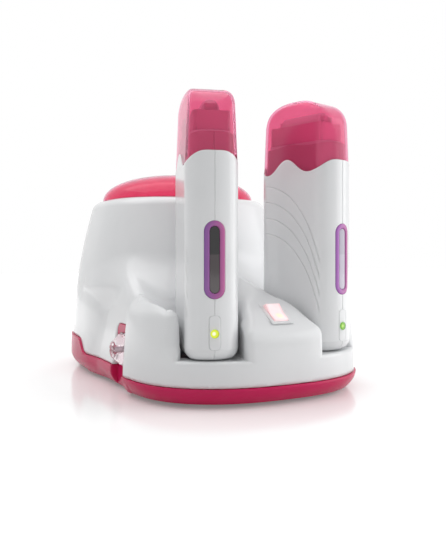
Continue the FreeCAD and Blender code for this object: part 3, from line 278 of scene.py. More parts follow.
def contour(solid, low, high, step):
    """Closed quad skin of a solid given as a distance, by dual contouring: each cell of a grid that the skin
    passes through gets one point, and each grid edge that crosses the skin gets one face."""
    axes = [np.arange(a, b + step, step) for a, b in zip(low, high)]
    value = np.concatenate([solid(*np.meshgrid(axes[0][i:i + 16], axes[1], axes[2], indexing="ij"))
                            for i in range(0, len(axes[0]), 16)])
    origin = np.array([a[0] for a in axes])
    found = [crossings(solid, value, origin, step, axis) for axis in range(3)]
    quads, points, flip = (np.concatenate(parts) for parts in zip(*found))
    used, local = np.unique(quads, return_inverse=True)
    local = local.reshape(quads.shape)
    place = best_points(local, points, slope(solid, points), len(used))
    corner = origin + np.stack(np.unravel_index(used, [n - 1 for n in value.shape]), 1) * step
    place = np.clip(place, corner - 0.1 * step, corner + 1.1 * step)
    return place, np.where(flip[:, None], local, local[:, ::-1])


def skin(name, points, faces, crease=35.0):
    """Mesh object from points in millimetres and faces, smooth except over edges sharper than crease."""
    mesh = bpy.data.meshes.new(name)
    mesh.vertices.add(len(points))
    mesh.vertices.foreach_set("co", (np.asarray(points, float) * MM).astype(np.float32).ravel())
    mesh.loops.add(faces.size)
    mesh.loops.foreach_set("vertex_index", faces.astype(np.int32).ravel())
    mesh.polygons.add(len(faces))
    mesh.polygons.foreach_set("loop_start", np.arange(0, faces.size, faces.shape[1], dtype=np.int32))
    mesh.update(calc_edges=True)
    mesh.validate()
    mesh.shade_smooth()
    mesh.set_sharp_from_angle(angle=math.radians(crease))
    piece = bpy.data.objects.new(name, mesh)
    bpy.context.scene.collection.objects.link(piece)
    return piece


def read(items, name, kind=np.int32, width=1):
    """One property of a mesh's vertices, corners or faces as a flat array."""
    values = np.zeros(len(items) * width, kind)
    items.foreach_get(name, values)
    return values


def true_normals(piece, solid):
    """Corner normals taken from the solid itself, a little inside each face, so that light stays even."""
    mesh = piece.data
    corner_vertex = read(mesh.loops, "vertex_index")
    co = read(mesh.vertices, "co", np.float32, 3).reshape(-1, 3)[corner_vertex] / MM
    sizes = read(mesh.polygons, "loop_total")
    which = np.repeat(np.arange(len(sizes)), sizes)
    centre = np.stack([np.bincount(which, co[:, k]) for k in range(3)], 1) / sizes[:, None]
    normals = slope(solid, co + 0.12 * (centre[which] - co))
    mesh.normals_split_custom_set(normals.tolist())


def finish_node(material_name, build):
    """A new node material, wired by build from its node tree and its principled shader."""
    material = bpy.data.materials.new(material_name)
    material.use_nodes = True
    tree = material.node_tree
    shader = next(n for n in tree.nodes if n.type == "BSDF_PRINCIPLED")
    build(tree, shader)
    return material


def feed(socket, value):
    """Sets an input socket: to a value, or to what another node's socket gives."""
    if hasattr(value, "is_linked"):
        socket.id_data.links.new(value, socket)
    else:
        socket.default_value = value


def settle(node, values):
    """Feeds a node's input sockets by name."""
    for name, value in values.items():
        feed(node.inputs[name], value)


def made(tree, kind, output, values):
    """Output socket of a new shader node whose inputs are fed by name."""
    node = tree.nodes.new("ShaderNode" + kind)
    settle(node, values)
    return node.outputs[output]


def object_place(tree):
    """Socket of the Object coordinates."""
    return made(tree, "TexCoord", "Object", {})


def noise(tree, scale, detail, stretch=(1, 1, 1)):
    """Noise on Object coordinates, its scale in cells per metre, drawn finer along a stretched axis."""
    place = made(tree, "Mapping", "Vector", {"Vector": object_place(tree), "Scale": stretch})
    return made(tree, "TexNoise", "Fac", {"Vector": place, "Scale": scale, "Detail": detail})


def remap(tree, source, low, high, to_low=0.0, to_high=1.0):
    """Maps the span from low to high onto another one, and holds its ends beyond."""
    spans = {"From Min": low, "From Max": high, "To Min": to_low, "To Max": to_high}
    return made(tree, "MapRange", "Result", {"Value": source, **spans})


def blend(tree, factor, a, b):
    """Colour on the way from a to b, each of them a socket or a tone."""
    mix = tree.nodes.new("ShaderNodeMix")
    mix.data_type = "RGBA"
    a, b = (c if hasattr(c, "is_linked") else (*c, 1) for c in (a, b))
    settle(mix, {"Factor": factor, "A": a, "B": b})
    return mix.outputs["Result"]


def two_tone(tree, shader, texture, dark, light):
    """Colour that drifts between two near tones with the middle of a noise's range."""
    settle(shader, {"Base Color": blend(tree, remap(tree, texture, 0.3, 0.7), dark, light)})


def drift(tree, shader, texture, rough, swing):
    """Roughness that drifts by swing to either side with the middle of a noise's range."""
    settle(shader, {"Roughness": remap(tree, texture, 0.3, 0.7, rough - swing, rough + swing)})


def relief(tree, shader, height, depth, strength):
    """Surface relief from a height of 0 to 1, its depth in metres, over any relief that the shader has."""
    below = {"Normal": link.from_socket for link in shader.inputs["Normal"].links}
    bump = made(tree, "Bump", "Normal", {"Height": height, "Strength": strength, "Distance": depth, **below})
    settle(shader, {"Normal": bump})


def polish(tree, shader, gloss, coat, shine):
    """Finish of a moulded face: a gloss that drifts, a clear coat and the faint orange peel of a tool."""
    drift(tree, shader, noise(tree, 60, 4), gloss, 0.015)
    relief(tree, shader, noise(tree, 1400, 2), 0.00002, 0.25)
    settle(shader, {"Specular IOR Level": shine, "Coat Weight": coat, "Coat Roughness": 0.06})


def moulded(dark, light, gloss, coat=0.55, shine=0.4):
    """Glossy moulded plastic in two near tones."""
    def build(tree, shader):
        two_tone(tree, shader, noise(tree, 22, 3), dark, light)
        polish(tree, shader, gloss, coat, shine)
    return build


WHITE_DARK, WHITE_LIGHT = (0.735, 0.745, 0.755), (0.765, 0.772, 0.782)
white_plastic = finish_node("white_moulding", moulded(WHITE_DARK, WHITE_LIGHT, 0.34))
points, faces = contour(housing_solid, (-112, -166, 12), (112, 166, 175), HOUSING_CELL)
housing = skin("housing", points, faces)
true_normals(housing, housing_solid)
housing.data.materials.append(white_plastic)
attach(housing, "station")
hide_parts("upper_housing")

# ----------------------------------------------------------------- pan
# The raspberry pan closes the station from below. Its edge rolls in at the
# foot, and on the left it rises through a notch to carry the knob.
KNOB_Y, KNOB_Z = -50, 35.6
PAN_GROW, PAN_BOTTOM, PAN_ROLL, PAN_CELL = 1.5, 3.0, 7, 1.75
PANEL_OUT, PANEL_IN = -97.3, -94.7
INLET_HALF_WIDTH, INLET_HALF_HEIGHT, INLET_Y, INLET_Z = 12.1, 8.6, 148.2, 18.5
FOOT_X, FOOT_Y, FOOT_RADIUS = 72, 112, 8.1
SCREW_PLACES, SCREW_RADIUS = ((55.28, 135.16), (62, -132), (90, 30)), 3.1


def bottom_cuts(x, y, z):
    """Distance from what is cut out of the pan: feet and screws from below, inlet and bore sideways."""
    feet = np.maximum(np.hypot(np.abs(x) - FOOT_X, np.abs(y) - FOOT_Y) - FOOT_RADIUS, z - 4.3)
    screws = reduce(np.minimum, [np.hypot(np.abs(x) - a, y - b) for a, b in SCREW_PLACES]) - SCREW_RADIUS
    inlet = overlap(np.abs(x) - INLET_HALF_WIDTH, np.abs(z - INLET_Z) - INLET_HALF_HEIGHT, INLET_Y - y)
    knob_bore = np.maximum(np.hypot(y - KNOB_Y, z - KNOB_Z) - 3.3, x + 90)
    return reduce(np.minimum, (feet, np.maximum(screws, z - 4.6), inlet, knob_bore))


def pan_solid(x, y, z):
    """Distance from the pan: the station's outline grown a little, rolled in below and cut at the seam."""
    outline = join(tower_wall(x, y, z), front_wall(x, y, z), 4.0)
    roll = PAN_ROLL * (np.maximum(RIM_FRONT - z, 0) / (RIM_FRONT - PAN_BOTTOM)) ** 2
    body = trim(outline - PAN_GROW + roll, z - seam_height(y), 0.7)
    body = np.maximum(body, PAN_BOTTOM - z)
    body = trim(body, -np.maximum(recess_room(y, z), x - PANEL_OUT), 1.0)
    panel = overlap(recess_room(y, z) + 0.1, slab_gap(x, PANEL_OUT, PANEL_IN), 5.8 - z)
    return np.maximum(np.minimum(body, panel), -bottom_cuts(x, y, z))


raspberry = finish_node("raspberry_moulding",
                        moulded((0.53, 0.010, 0.085), (0.57, 0.014, 0.098), 0.24, 0.08, 0.16))
points, faces = contour(pan_solid, (-113, -168, 0), (113, 168, 60), PAN_CELL)
pan = skin("pan", points, faces)
true_normals(pan, pan_solid)
pan.data.materials.append(raspberry)
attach(pan, "station")
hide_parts("base_pan")

# --------------------------------------------------------- grip shells
# Each hand piece is two white ABS half shells, joined along the middle of
# both narrow faces. The window and the light's panel are let into the front
# joint, and a thinner neck stands up inside the cap.
CORE_X, CORE_Y, CROWN_RADIUS, CROWN_Y, CORNER = 7.55, 24.7, 15.25, 11.45, 13.6
TURN = math.atan2(CORE_Y - CROWN_Y, CORE_X)
ARC_A = CORNER * TURN
ARC_B = (CROWN_RADIUS + CORNER) * (math.pi / 2 - TURN)
QUARTER = CORE_Y + ARC_A + ARC_B
SEAM_Z, SHOULDER_Z, NECK_TOP = 193.3, 180, 215
PANEL_LOW, PANEL_HIGH, PANEL_TURN, PANEL_FLAT = 44.9, 71.1, 3.1, 1.3
SLOT_LOW, SLOT_HIGH, SLOT_TURN = 83.6, 143.2, 8.1
SLIT, TINY = 0.05, 0.001
FOOT_Z, FOOT_TURN, FOOT_STEPS = 45.3, 9.0, 9
GRIP_WALL, UPPER_WALL, DRAFT = 2.2, 5.535, 0.041
INNER_TURN = FOOT_TURN - GRIP_WALL
SIDES = {"left": -1, "right": 1}
# Painted shade: the white neck inside the pink cap is coloured a dark rose for the dim, pink-filtered light
# there, in full on the left and less on the right.
NECK_SHADE_TONE, NECK_SHADE_SHARE = (0.46, 0.22, 0.33), {"left": 1.0, "right": 0.65}
GROOVE_TOPS, GROOVE_LENGTH, GROOVE_WIDTH = (0.177, 0.1631, 0.1492, 0.1353), 0.079, 0.0006
GROOVE_Y, GROOVE_REACH, GROOVE_RISE, GROOVE_MEAN = 0.030, 0.064, 0.092, 0.076
BROAD_X, BROAD_Y = 0.0195, 0.0285


def ring(share, grow):
    """Plan of a grip: a crowned core offset outwards. share runs 0 to 1 round it from the outer broad face,
    and grow moves it out. Straight side, corner arc and crown arc follow each other in each quarter."""
    turn = np.mod(share * 4, 4)
    fold = np.mod(turn, 2)
    s = np.minimum(fold, 2 - fold) * QUARTER
    crown = s > CORE_Y + ARC_A
    corner_angle = np.maximum(s - CORE_Y, 0) / CORNER
    angle = np.where(crown, TURN + (s - CORE_Y - ARC_A) / (CROWN_RADIUS + CORNER), corner_angle)
    core_x = np.where(crown, CROWN_RADIUS * np.cos(angle), CORE_X)
    core_y = np.where(crown, CROWN_Y + CROWN_RADIUS * np.sin(angle), np.minimum(s, CORE_Y))
    x = core_x + (CORNER + grow) * np.cos(angle)
    y = core_y + (CORNER + grow) * np.sin(angle)
    return np.where((turn < 1) | (turn > 3), x, -x), np.where(turn < 2, y, -y)


def wave(share):
    """Height of the seam between grip and cap: four waves round the outline, a crest on each face. The crests
    of the broad faces lean back, and those of the narrow faces stand lower and have a flat top."""
    turn = np.pi * (1 - np.abs(np.mod(share - 0.25, 1) - 0.5) * 4)
    lean = 0.2 * (0.5 + 0.5 * np.cos(turn)) + 0.17 * np.sin(turn)
    swing = np.cos(2 * turn + np.pi * lean)
    narrow = 0.5 - 0.5 * np.cos(4 * np.pi * share)
    flat = 0.415 * narrow * (1 - swing * swing) * np.maximum(0.5 + swing, 0)
    return SEAM_Z + 5.6 * (swing + flat) - 2.4 * narrow


def opening(z, low, high, turn, flat=0.0):
    """Half width at height z of an upright opening: a flat part between corners of radius turn."""
    depth = np.clip(turn - np.minimum(z - low, high - z), 0, turn)
    return np.where((z > low) & (z < high), flat + np.sqrt(turn ** 2 - depth ** 2), SLIT)


def half_opening(z):
    """Half width of what the front joint leaves open at height z: the light's panel or the window's slot."""
    panel = opening(z, PANEL_LOW, PANEL_HIGH, PANEL_TURN, PANEL_FLAT)
    return np.maximum(panel, opening(z, SLOT_LOW, SLOT_HIGH, SLOT_TURN))


def joint_share(half_width, grow):
    """Quarter share at which the narrow face is half_width from the joint."""
    angle = np.pi / 2 - np.arcsin(np.clip(half_width / (CROWN_RADIUS + CORNER + grow), 0, 0.99))
    return (CORE_Y + ARC_A + (angle - TURN) * (CROWN_RADIUS + CORNER)) / QUARTER / 4


def grip_sheet(grow, level, columns=72):
    """Half a grip as a grid: rows at the given grows and levels, columns from the front joint to the back.
    Levels 180 to 200 are shares of the way from the shoulder to the wavy seam, and 200 to 215 of the way on
    to the neck's top. The edge columns are sunk, which leaves a fine V along each joint."""
    f = np.concatenate([[0, 0.0035], np.linspace(0, 1, columns)[1:-1], [0.9965, 1]])[None, :]
    grow, level = grow[:, None] - np.where((f == 0) | (f == 1), 0.35, 0), level[:, None]
    front = joint_share(half_opening(level), grow)
    back = joint_share(SLIT + 0 * level, grow)
    share = -front + f * (back + front)
    seam = wave(share)
    rising = SHOULDER_Z + (level - 180) / 20 * (seam - SHOULDER_Z)
    beyond = seam + (level - 200) / 15 * (NECK_TOP - seam)
    z = np.where(level < 180, level, np.where(level <= 200, rising, beyond))
    return np.stack([*ring(share, grow), z], 2)


def grip_rows():
    """Row by row: outer grow, inner grow and level, from the middle of the foot up to the neck's rim."""
    foot = [(FOOT_TURN * (math.sin(a) - 1), INNER_TURN * math.sin(a) - FOOT_TURN,
             FOOT_Z - FOOT_TURN * math.cos(a)) for a in np.linspace(0, 1.524, FOOT_STEPS)]
    corner = PANEL_TURN * (1 - np.cos(np.linspace(0, math.pi / 2, 7)))
    end = SLOT_TURN * (1 - np.cos(np.linspace(0, math.pi / 2, 11)))
    walls = np.concatenate([
        PANEL_LOW + TINY + corner, np.linspace(50, 66, 5), PANEL_HIGH - TINY - corner[::-1],
        [PANEL_HIGH + 10 * TINY, 76, 80, SLOT_LOW - 10 * TINY],
        SLOT_LOW + TINY + end, np.linspace(96, 131, 6), SLOT_HIGH - TINY - end[::-1],
        [SLOT_HIGH + 10 * TINY], np.linspace(150, 174, 5)])
    wall = [(0, -GRIP_WALL, z) for z in walls]
    upper = [(0, -UPPER_WALL, z) for z in (176, 179.9, 184, 188, 192, 196, 199.2)]
    edge = [(-0.12, -UPPER_WALL, 199.75), (-0.4, -UPPER_WALL, 200)]
    neck = [(-2.6 - DRAFT * (12 + f * 1.53), -UPPER_WALL, 200 + f) for f in (0.0, 3, 6, 9, 12.2)]
    return np.array(foot + wall + upper + edge + neck, float).T


def quads_of(index):
    """Faces between neighbouring rows and columns of a grid of point numbers."""
    return np.stack([index[:-1, :-1], index[:-1, 1:], index[1:, 1:], index[1:, :-1]], 2).reshape(-1, 4)


def closed_slab(outer, inner, wrap=False):
    """Faces between two grids of the same size, the outer facing out, with every open side joined across."""
    rows, columns = outer.shape[:2]
    shift = rows * columns
    index = np.arange(shift).reshape(rows, columns)
    if wrap:
        index = np.pad(index, ((0, 0), (0, 1)), "wrap")
    skin_out = quads_of(index)
    skin_in = skin_out[:, ::-1] + shift
    rims = [index[0], index[:, -1], index[-1][::-1], index[::-1, 0]]
    if wrap:
        rims = rims[::2]
    sides = [np.stack([r[1:], r[:-1], r[:-1] + shift, r[1:] + shift], 1) for r in rims]
    points = np.concatenate([outer.reshape(-1, 3), inner.reshape(-1, 3)])
    return points, np.concatenate([skin_out, skin_in] + sides)


def weld(piece, crease):
    """Merges doubled points at seams and poles and turns every face outwards."""
    work = bmesh.new()
    work.from_mesh(piece.data)
    bmesh.ops.remove_doubles(work, verts=work.verts, dist=2e-6)
    bmesh.ops.dissolve_degenerate(work, edges=work.edges, dist=1e-7)
    bmesh.ops.recalc_face_normals(work, faces=work.faces)
    work.to_mesh(piece.data)
    work.free()
    piece.data.shade_smooth()
    piece.data.set_sharp_from_angle(angle=math.radians(crease))
    return piece


def docked(points, side):
    """Moves points from a hand piece's own frame into its dock, mirrored for the left side."""
    c, s = math.cos(DOCK_SPLAY), math.sin(DOCK_SPLAY)
    x, y, z = points.T
    return np.stack([side * (DOCK_X + c * x - s * y), DOCK_Y + s * x + c * y, z], 1)


def dock_piece(word, name, mesh, material, body, node, crease=50, neck=None):
    """Piece of the hand piece on the side that word names, from its points and faces in the hand piece's own
    frame. That frame is kept in an attribute for patterns that follow the piece, and neck, the weight of the
    painted shade on the neck, in another one."""
    points, faces = mesh
    piece = skin(f"{word}_{name}", docked(points, SIDES[word]), faces, crease)
    if neck is not None:
        piece.data.attributes.new("neck", "FLOAT", "POINT").data.foreach_set("value", neck.astype(np.float32))
    own = piece.data.attributes.new("own_frame", "FLOAT_VECTOR", "POINT")
    own.data.foreach_set("vector", (points * MM).astype(np.float32).ravel())
    weld(piece, crease)
    piece.data.materials.append(material)
    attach(piece, f"{word}_{body}")
    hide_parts(f"{word}_{node}")


def maths(tree, kind, a, b=0.0):
    """Math node on two numbers or sockets, or on one."""
    node = tree.nodes.new("ShaderNodeMath")
    node.operation = kind
    feed(node.inputs[0], a)
    feed(node.inputs[1], b)
    return node.outputs["Value"]


def attribute(tree, name, output):
    """Socket of a mesh attribute."""
    node = tree.nodes.new("ShaderNodeAttribute")
    node.attribute_name = name
    return node.outputs[output]


def axes_of(tree, vector):
    """X, Y and Z sockets of a vector socket."""
    split = tree.nodes.new("ShaderNodeSeparateXYZ")
    settle(split, {"Vector": vector})
    return [split.outputs[axis] for axis in "XYZ"]


def groove_height(tree):
    """1 on the plain grip and 0 at the bottom of its grooves: four ellipses of one size, one below the other,
    drawn on the broad faces behind their front edge, each down to a groove's length below its top."""
    calc = partial(maths, tree)
    x, y, z = axes_of(tree, attribute(tree, "own_frame", "Vector"))
    across = calc("DIVIDE", calc("SUBTRACT", y, GROOVE_Y), GROOVE_REACH)
    across_squared = calc("MULTIPLY", across, across)
    height = 1.0
    for top in GROOVE_TOPS:
        up = calc("DIVIDE", calc("SUBTRACT", z, top - GROOVE_RISE), GROOVE_RISE)
        radius = calc("SQRT", calc("ADD", across_squared, calc("MULTIPLY", up, up)))
        away = calc("ABSOLUTE", calc("MULTIPLY", calc("SUBTRACT", radius, 1.0), GROOVE_MEAN))
        wall = calc("DIVIDE", away, GROOVE_WIDTH)
        below = calc("LESS_THAN", z, top - GROOVE_LENGTH)
        height = calc("MINIMUM", height, calc("MAXIMUM", wall, below))
    narrow = calc("LESS_THAN", calc("ABSOLUTE", x), BROAD_X)
    ahead = calc("GREATER_THAN", y, BROAD_Y)
    return calc("MAXIMUM", height, calc("MAXIMUM", narrow, ahead))


def grip_finish(tree, shader):
    """The white moulding with painted shade on the neck, a dark rose for the dim pink light that reaches it
    through the cap, and with grooves pressed into the broad faces.
    """
    moulded(WHITE_DARK, WHITE_LIGHT, 0.30, 0.7)(tree, shader)
    white = shader.inputs["Base Color"].links[0].from_socket
    settle(shader, {"Base Color": blend(tree, attribute(tree, "neck", "Fac"), white, NECK_SHADE_TONE)})
    relief(tree, shader, groove_height(tree), 0.0005, 1.0)


grip_white = finish_node("grip_moulding", grip_finish)
outer_grow, inner_grow, levels = grip_rows()
inner_levels = np.maximum(levels, FOOT_Z + 0.55)
inner_levels[:FOOT_STEPS] = FOOT_Z + 0.5 - INNER_TURN * np.cos(np.linspace(0, math.pi / 2, FOOT_STEPS))
shell_out = grip_sheet(outer_grow, levels)
shell_in = grip_sheet(inner_grow, inner_levels)
keel = shell_out[:1] * (0, 0.75, 0) + (SLIT, 0, FOOT_Z - FOOT_TURN)
points, faces = closed_slab(np.concatenate([keel, shell_out]),
                            np.concatenate([keel + (0, 0, 2.7), shell_in]))
# neck marks the rows of the neck inside the cap, and the side's share scales the painted shade there.
neck_rows = np.concatenate([[False], (levels >= 200) & (outer_grow < -1)])
neck = np.tile(np.repeat(neck_rows, keel.shape[1]), 2)
for word, share in NECK_SHADE_SHARE.items():
    dock_piece(word, "outer_grip", (points, faces), grip_white, "handpiece", "grip_outer_shell",
               40, neck * share)
    dock_piece(word, "inner_grip", (points * (-1, 1, 1), faces[:, ::-1]), grip_white, "handpiece",
               "grip_inner_shell", 40, neck * share)

# ---------------------------------------------------------------- caps
# A see-through pink cap covers each roller: clear tinted polycarbonate with
# an arched top, drawn in upwards, its wavy lower edge fitting the grip's.
CAP_TOP, CAP_REACH, CAP_RISE, CAP_ROUND = 250.1, 40.7, 42.0, 8.5
CAP_SIDE_WALL, CAP_TOP_WALL = 2.3, 1.6


def cap_sheet(grow, top, reach, rise, round_size, columns=144):
    """One side of a cap: each column climbs the drafted wall to the arch (y/reach)^2.3 + (z/rise)^2.3 = 1,
    turns over its edge on a parabola and runs along the arch to the middle of the top."""
    share = np.linspace(0, 1, columns, endpoint=False)
    low = wave(share) + 0.3

    def wall(z):
        return np.stack([*ring(share, grow - DRAFT * (z - SHOULDER_Z)), z], 1)

    def arch(y):
        return top - rise + rise * np.maximum(1 - np.abs(y / reach) ** 2.3, 0) ** (1 / 2.3)

    edge = np.full(columns, 230.0)
    for _ in range(12):
        edge = 0.5 * edge + 0.5 * arch(wall(edge)[:, 1])
    corner = wall(edge)

    def over(f):
        x, y = corner[:, 0] * (1 - f), corner[:, 1] * (1 - f)
        return np.stack([x, y, arch(y)], 1)

    steep = (over(0.01) - over(0.0)) / 0.01
    start = np.clip(round_size / np.linalg.norm(steep, axis=1), 0, 0.5)
    below = wall(edge - round_size)
    beyond = over(start)
    rows = [wall(low + (edge - round_size - low) * f) for f in np.linspace(0, 1, 14)]
    for t in np.linspace(0, 1, 10)[1:]:
        rows.append((1 - t) ** 2 * below + 2 * t * (1 - t) * corner + t * t * beyond)
    for f in np.linspace(0, 1, 16)[1:]:
        rows.append(over(start + (1 - start) * f))
    rows[-1][:] = (0, 0, top)
    return np.array(rows)


def see_through(tint, passing):
    """Tinted clear plastic: a share of the light passes coloured, and the rest scatters in the wall."""
    def build(tree, shader):
        drift(tree, shader, noise(tree, 40, 2), 0.06, 0.02)
        two_tone(tree, shader, noise(tree, 30, 2), tuple(0.97 * c for c in tint), tint)
        relief(tree, shader, noise(tree, 1200, 2), 0.00001, 0.2)
        settle(shader, {"Transmission Weight": passing, "IOR": 1.03})
        settle(shader, {"Coat Weight": 0.5, "Coat Roughness": 0.1})
        settle(shader, {"Sheen Weight": 0.2, "Sheen Roughness": 0.35, "Sheen Tint": (1.0, 0.75, 0.85, 1)})
    return build


cap_pink = finish_node("clear_pink_cap", see_through((0.92, 0.33, 0.50), 0.95))
cap_out = cap_sheet(0.0, CAP_TOP, CAP_REACH, CAP_RISE, CAP_ROUND)
cap_in = cap_sheet(-CAP_SIDE_WALL, CAP_TOP - CAP_TOP_WALL, CAP_REACH - CAP_TOP_WALL,
                   CAP_RISE - CAP_TOP_WALL, CAP_ROUND - 1.7)
for word in SIDES:
    dock_piece(word, "clear_cap", closed_slab(cap_out, cap_in, wrap=True), cap_pink, "cover", "cap",
               40)

# ------------------------------------------------- window bezel and lens
# A violet plastic ring is pressed into the front joint, and a smoked lens
# behind it shows the cartridge.
BEZEL_HALF, BEZEL_LOW, BEZEL_HIGH = 8.0, 83.7, 143.1
LENS_HALF, LENS_CORE, LENS_LOW, LENS_HIGH = 3.8, 3.799, 87.9, 138.9
BEZEL_SECTION = [(0.0, 2.2), (0.0, 0.1), (0.15, -0.25), (0.6, -0.45), (1.6, -0.5), (2.8, -0.45),
                 (3.6, -0.2), (4.0, 0.3), (4.1, 1.0), (4.1, 2.2)]
LENS_SECTION = [(LENS_CORE, 2.2), (0, 2.2), (0, 0.5), (0.15, 0.35), (0.5, 0.3), (1.6, 0.3), (2.8, 0.3),
                (LENS_CORE, 0.3)]
WAX_LEVEL = 0.1174
BEZEL_MIDDLE, BEZEL_REACH = 0.0598, 0.007
MAGENTA = (0.47, 0.105, 0.30)
# Painted light: both rings are one moulding, and the right ring's lighter violet stands for the brighter
# light on its dock.
VIOLETS_WITH_PAINTED_LIGHT = {"left": (0.25, 0.085, 0.34), "right": (0.38, 0.13, 0.48)}


def stadium_loop(half_width, low, high, count=96):
    """Upright slot outline with round ends, as x and z round its loop: a straight side and a half circle,
    then both again turned half a turn about the middle."""
    straight = high - low - 2 * half_width
    half = straight + math.pi * half_width
    run = np.linspace(0, 2 * half, count, endpoint=False)
    second = run >= half
    run = run - half * second
    angle = np.maximum(run - straight, 0) / half_width
    x = half_width * np.cos(angle)
    z = low + half_width + np.minimum(run, straight) + half_width * np.sin(angle)
    return np.where(second, -x, x), np.where(second, low + high - z, z)


def closed_tube(grid):
    """Points and faces of a grid that closes both ways, such as a ring with a closed section."""
    rows, columns = grid.shape[:2]
    index = np.arange(rows * columns).reshape(rows, columns)
    return grid.reshape(-1, 3), quads_of(np.pad(index, (0, 1), "wrap"))


def face_ring(section, half_width, low, high):
    """Ring laid on the crowned narrow face: each point of the section is how far it lies in from the outline
    from low to high, and how deep under the face."""
    rings = []
    for inset, sunk in section:
        x, z = stadium_loop(half_width - inset, low + inset, high - inset)
        face = CROWN_Y + np.sqrt((CROWN_RADIUS + CORNER) ** 2 - x * x)
        rings.append(np.stack([x, sunk - face, z], 1))
    return closed_tube(np.array(rings))


def violet_to_magenta(middle, violet):
    """Glossy moulding whose colour runs across the ring, violet on the left and magenta on the right."""
    def build(tree, shader):
        polish(tree, shader, 0.26, 0.2, 0.4)
        x = axes_of(tree, object_place(tree))[0]
        across = remap(tree, x, middle - BEZEL_REACH, middle + BEZEL_REACH)
        settle(shader, {"Base Color": blend(tree, across, violet, MAGENTA)})
    return build


def smoked(wax, empty):
    """Smoked lens over a half-full cartridge: darker above the wax's level."""
    def build(tree, shader):
        z = axes_of(tree, object_place(tree))[2]
        above = remap(tree, z, WAX_LEVEL - 0.0006, WAX_LEVEL + 0.0006)
        settle(shader, {"Base Color": blend(tree, above, wax, empty)})
        relief(tree, shader, noise(tree, 300, 2), 0.00001, 0.2)
        settle(shader, {"Roughness": 0.06, "Coat Weight": 0.3, "Coat Roughness": 0.04})
    return build


bezel = face_ring(BEZEL_SECTION, BEZEL_HALF, BEZEL_LOW, BEZEL_HIGH)
for word, side in SIDES.items():
    violet = finish_node(word + "_violet_bezel", violet_to_magenta(side * BEZEL_MIDDLE, VIOLETS_WITH_PAINTED_LIGHT[word]))
    dock_piece(word, "bezel", bezel, violet, "handpiece", "window_bezel")
lens = face_ring(LENS_SECTION, LENS_HALF, LENS_LOW, LENS_HIGH)
# Painted reflection: the right lens is the same smoked lens, coloured pale for the bright surroundings it
# mirrors.
LENSES = {"left": finish_node("smoked_lens", smoked((0.056, 0.042, 0.046), (0.008, 0.007, 0.008))),
          "right": finish_node("smoked_lens_painted_reflection", smoked((0.46, 0.42, 0.52), (0.40, 0.37, 0.46)))}
for word, smoked_plastic in LENSES.items():
    dock_piece(word, "lens", lens, smoked_plastic, "handpiece", "window_lens")

# ----------------------------------------------------------------- lid
# The pot's lid is a shallow dome of see-through pink plastic. It covers the
# pot's flange and ends just above the tower's top.
LID_RADIUS, LID_RISE, LID_WALL, LID_SEAT = 79.0, 27.5, 2.0, 172.3


def lathe(profile, centre, segments=128):
    """Turns a closed profile of (radius, height) points about the upright axis through centre."""
    angle = np.linspace(0, 2 * np.pi, segments, endpoint=False)
    radius, height = np.array(profile).T[:, :, None]
    grid = np.stack([radius * np.cos(angle), radius * np.sin(angle), height + 0 * angle], 2)
    return closed_tube(grid + centre)


def dome(radius, rise):
    """Quarter of (r/R)^2.35 + (h/H)^2 = 1 from rim to crown."""
    a = np.linspace(0, math.pi / 2, 40)
    r = radius * np.maximum(np.cos(a), 0) ** (2 / 2.35)
    return list(zip(np.maximum(r, TINY), LID_SEAT + rise * np.sin(a)))


lid_profile = dome(LID_RADIUS, LID_RISE) + dome(LID_RADIUS - LID_WALL, LID_RISE - LID_WALL)[::-1]
lid = weld(skin("lid", *lathe(lid_profile, (0, TOWER_Y, 0)), 50), 50)
lid.data.materials.append(finish_node("clear_pink_lid", see_through((0.93, 0.19, 0.35), 0.93)))
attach(lid, "lid")
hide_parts("pot_lid")

# ---------------------------------------------------------------- knob
# The thermostat's knob is a clear acrylic cone on a wide skirt with a
# pointer groove across its face, pressed on a steel shaft.
KNOB_BACK, KNOB_LENGTH, SKIRT_LENGTH, SKIRT_RADIUS, KNOB_CELL = -97.6, 11.0, 4.0, 12.7, 0.5
BORE_RADIUS, BORE_DEPTH = 3.1, 8.1


def knob_solid(x, y, z):
    """Distance from the knob: skirt and cone run together, a groove across the face and a bore behind."""
    out = KNOB_BACK - x
    r = np.hypot(y - KNOB_Y, z - KNOB_Z)
    skirt = trim(r - SKIRT_RADIUS, slab_gap(out, 0, SKIRT_LENGTH), 1.0)
    flank = r - SKIRT_RADIUS + 0.5 + 0.84 * (out - SKIRT_LENGTH)
    body = join(skirt, trim(0.74 * flank, slab_gap(out, 0, KNOB_LENGTH), 1.2), 1.0)
    groove = np.maximum(slab_gap(z, KNOB_Z - 0.8, KNOB_Z + 0.8), KNOB_LENGTH - 1 - out)
    return np.maximum(trim(body, -groove, 0.3), -np.maximum(r - BORE_RADIUS, out - BORE_DEPTH))


def clear_acrylic(tree, shader):
    """Clear acrylic with a faint drift of its gloss."""
    drift(tree, shader, noise(tree, 80, 2), 0.06, 0.03)
    two_tone(tree, shader, noise(tree, 60, 2), (0.86, 0.74, 0.78), (0.91, 0.80, 0.84))
    settle(shader, {"Transmission Weight": 0.95, "IOR": 1.35})


points, faces = contour(knob_solid, (-110, -64, 21), (-96, -36, 50), KNOB_CELL)
knob = skin("knob", points, faces)
knob.data.materials.append(finish_node("clear_acrylic", clear_acrylic))
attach(knob, "knob")
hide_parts("thermostat_knob")

# ------------------------------------------------ switch and small lamps
# The switch is a white snap-in frame round a rocker of pink translucent
# plastic, lit from below. A lamp behind a lens marks each hand piece.
# The last of these shifts the painted highlight on the lamp lenses left of their middle.
LAMP_X, LAMP_Y, LAMP_Z, LENS_HIGHLIGHT_SHIFT = 0.05997, -0.1512, 0.0576, 0.0009
SPOT_PLACE, SPOT_RADIUS = (0.0008, -0.1462, 0.0688), 0.006
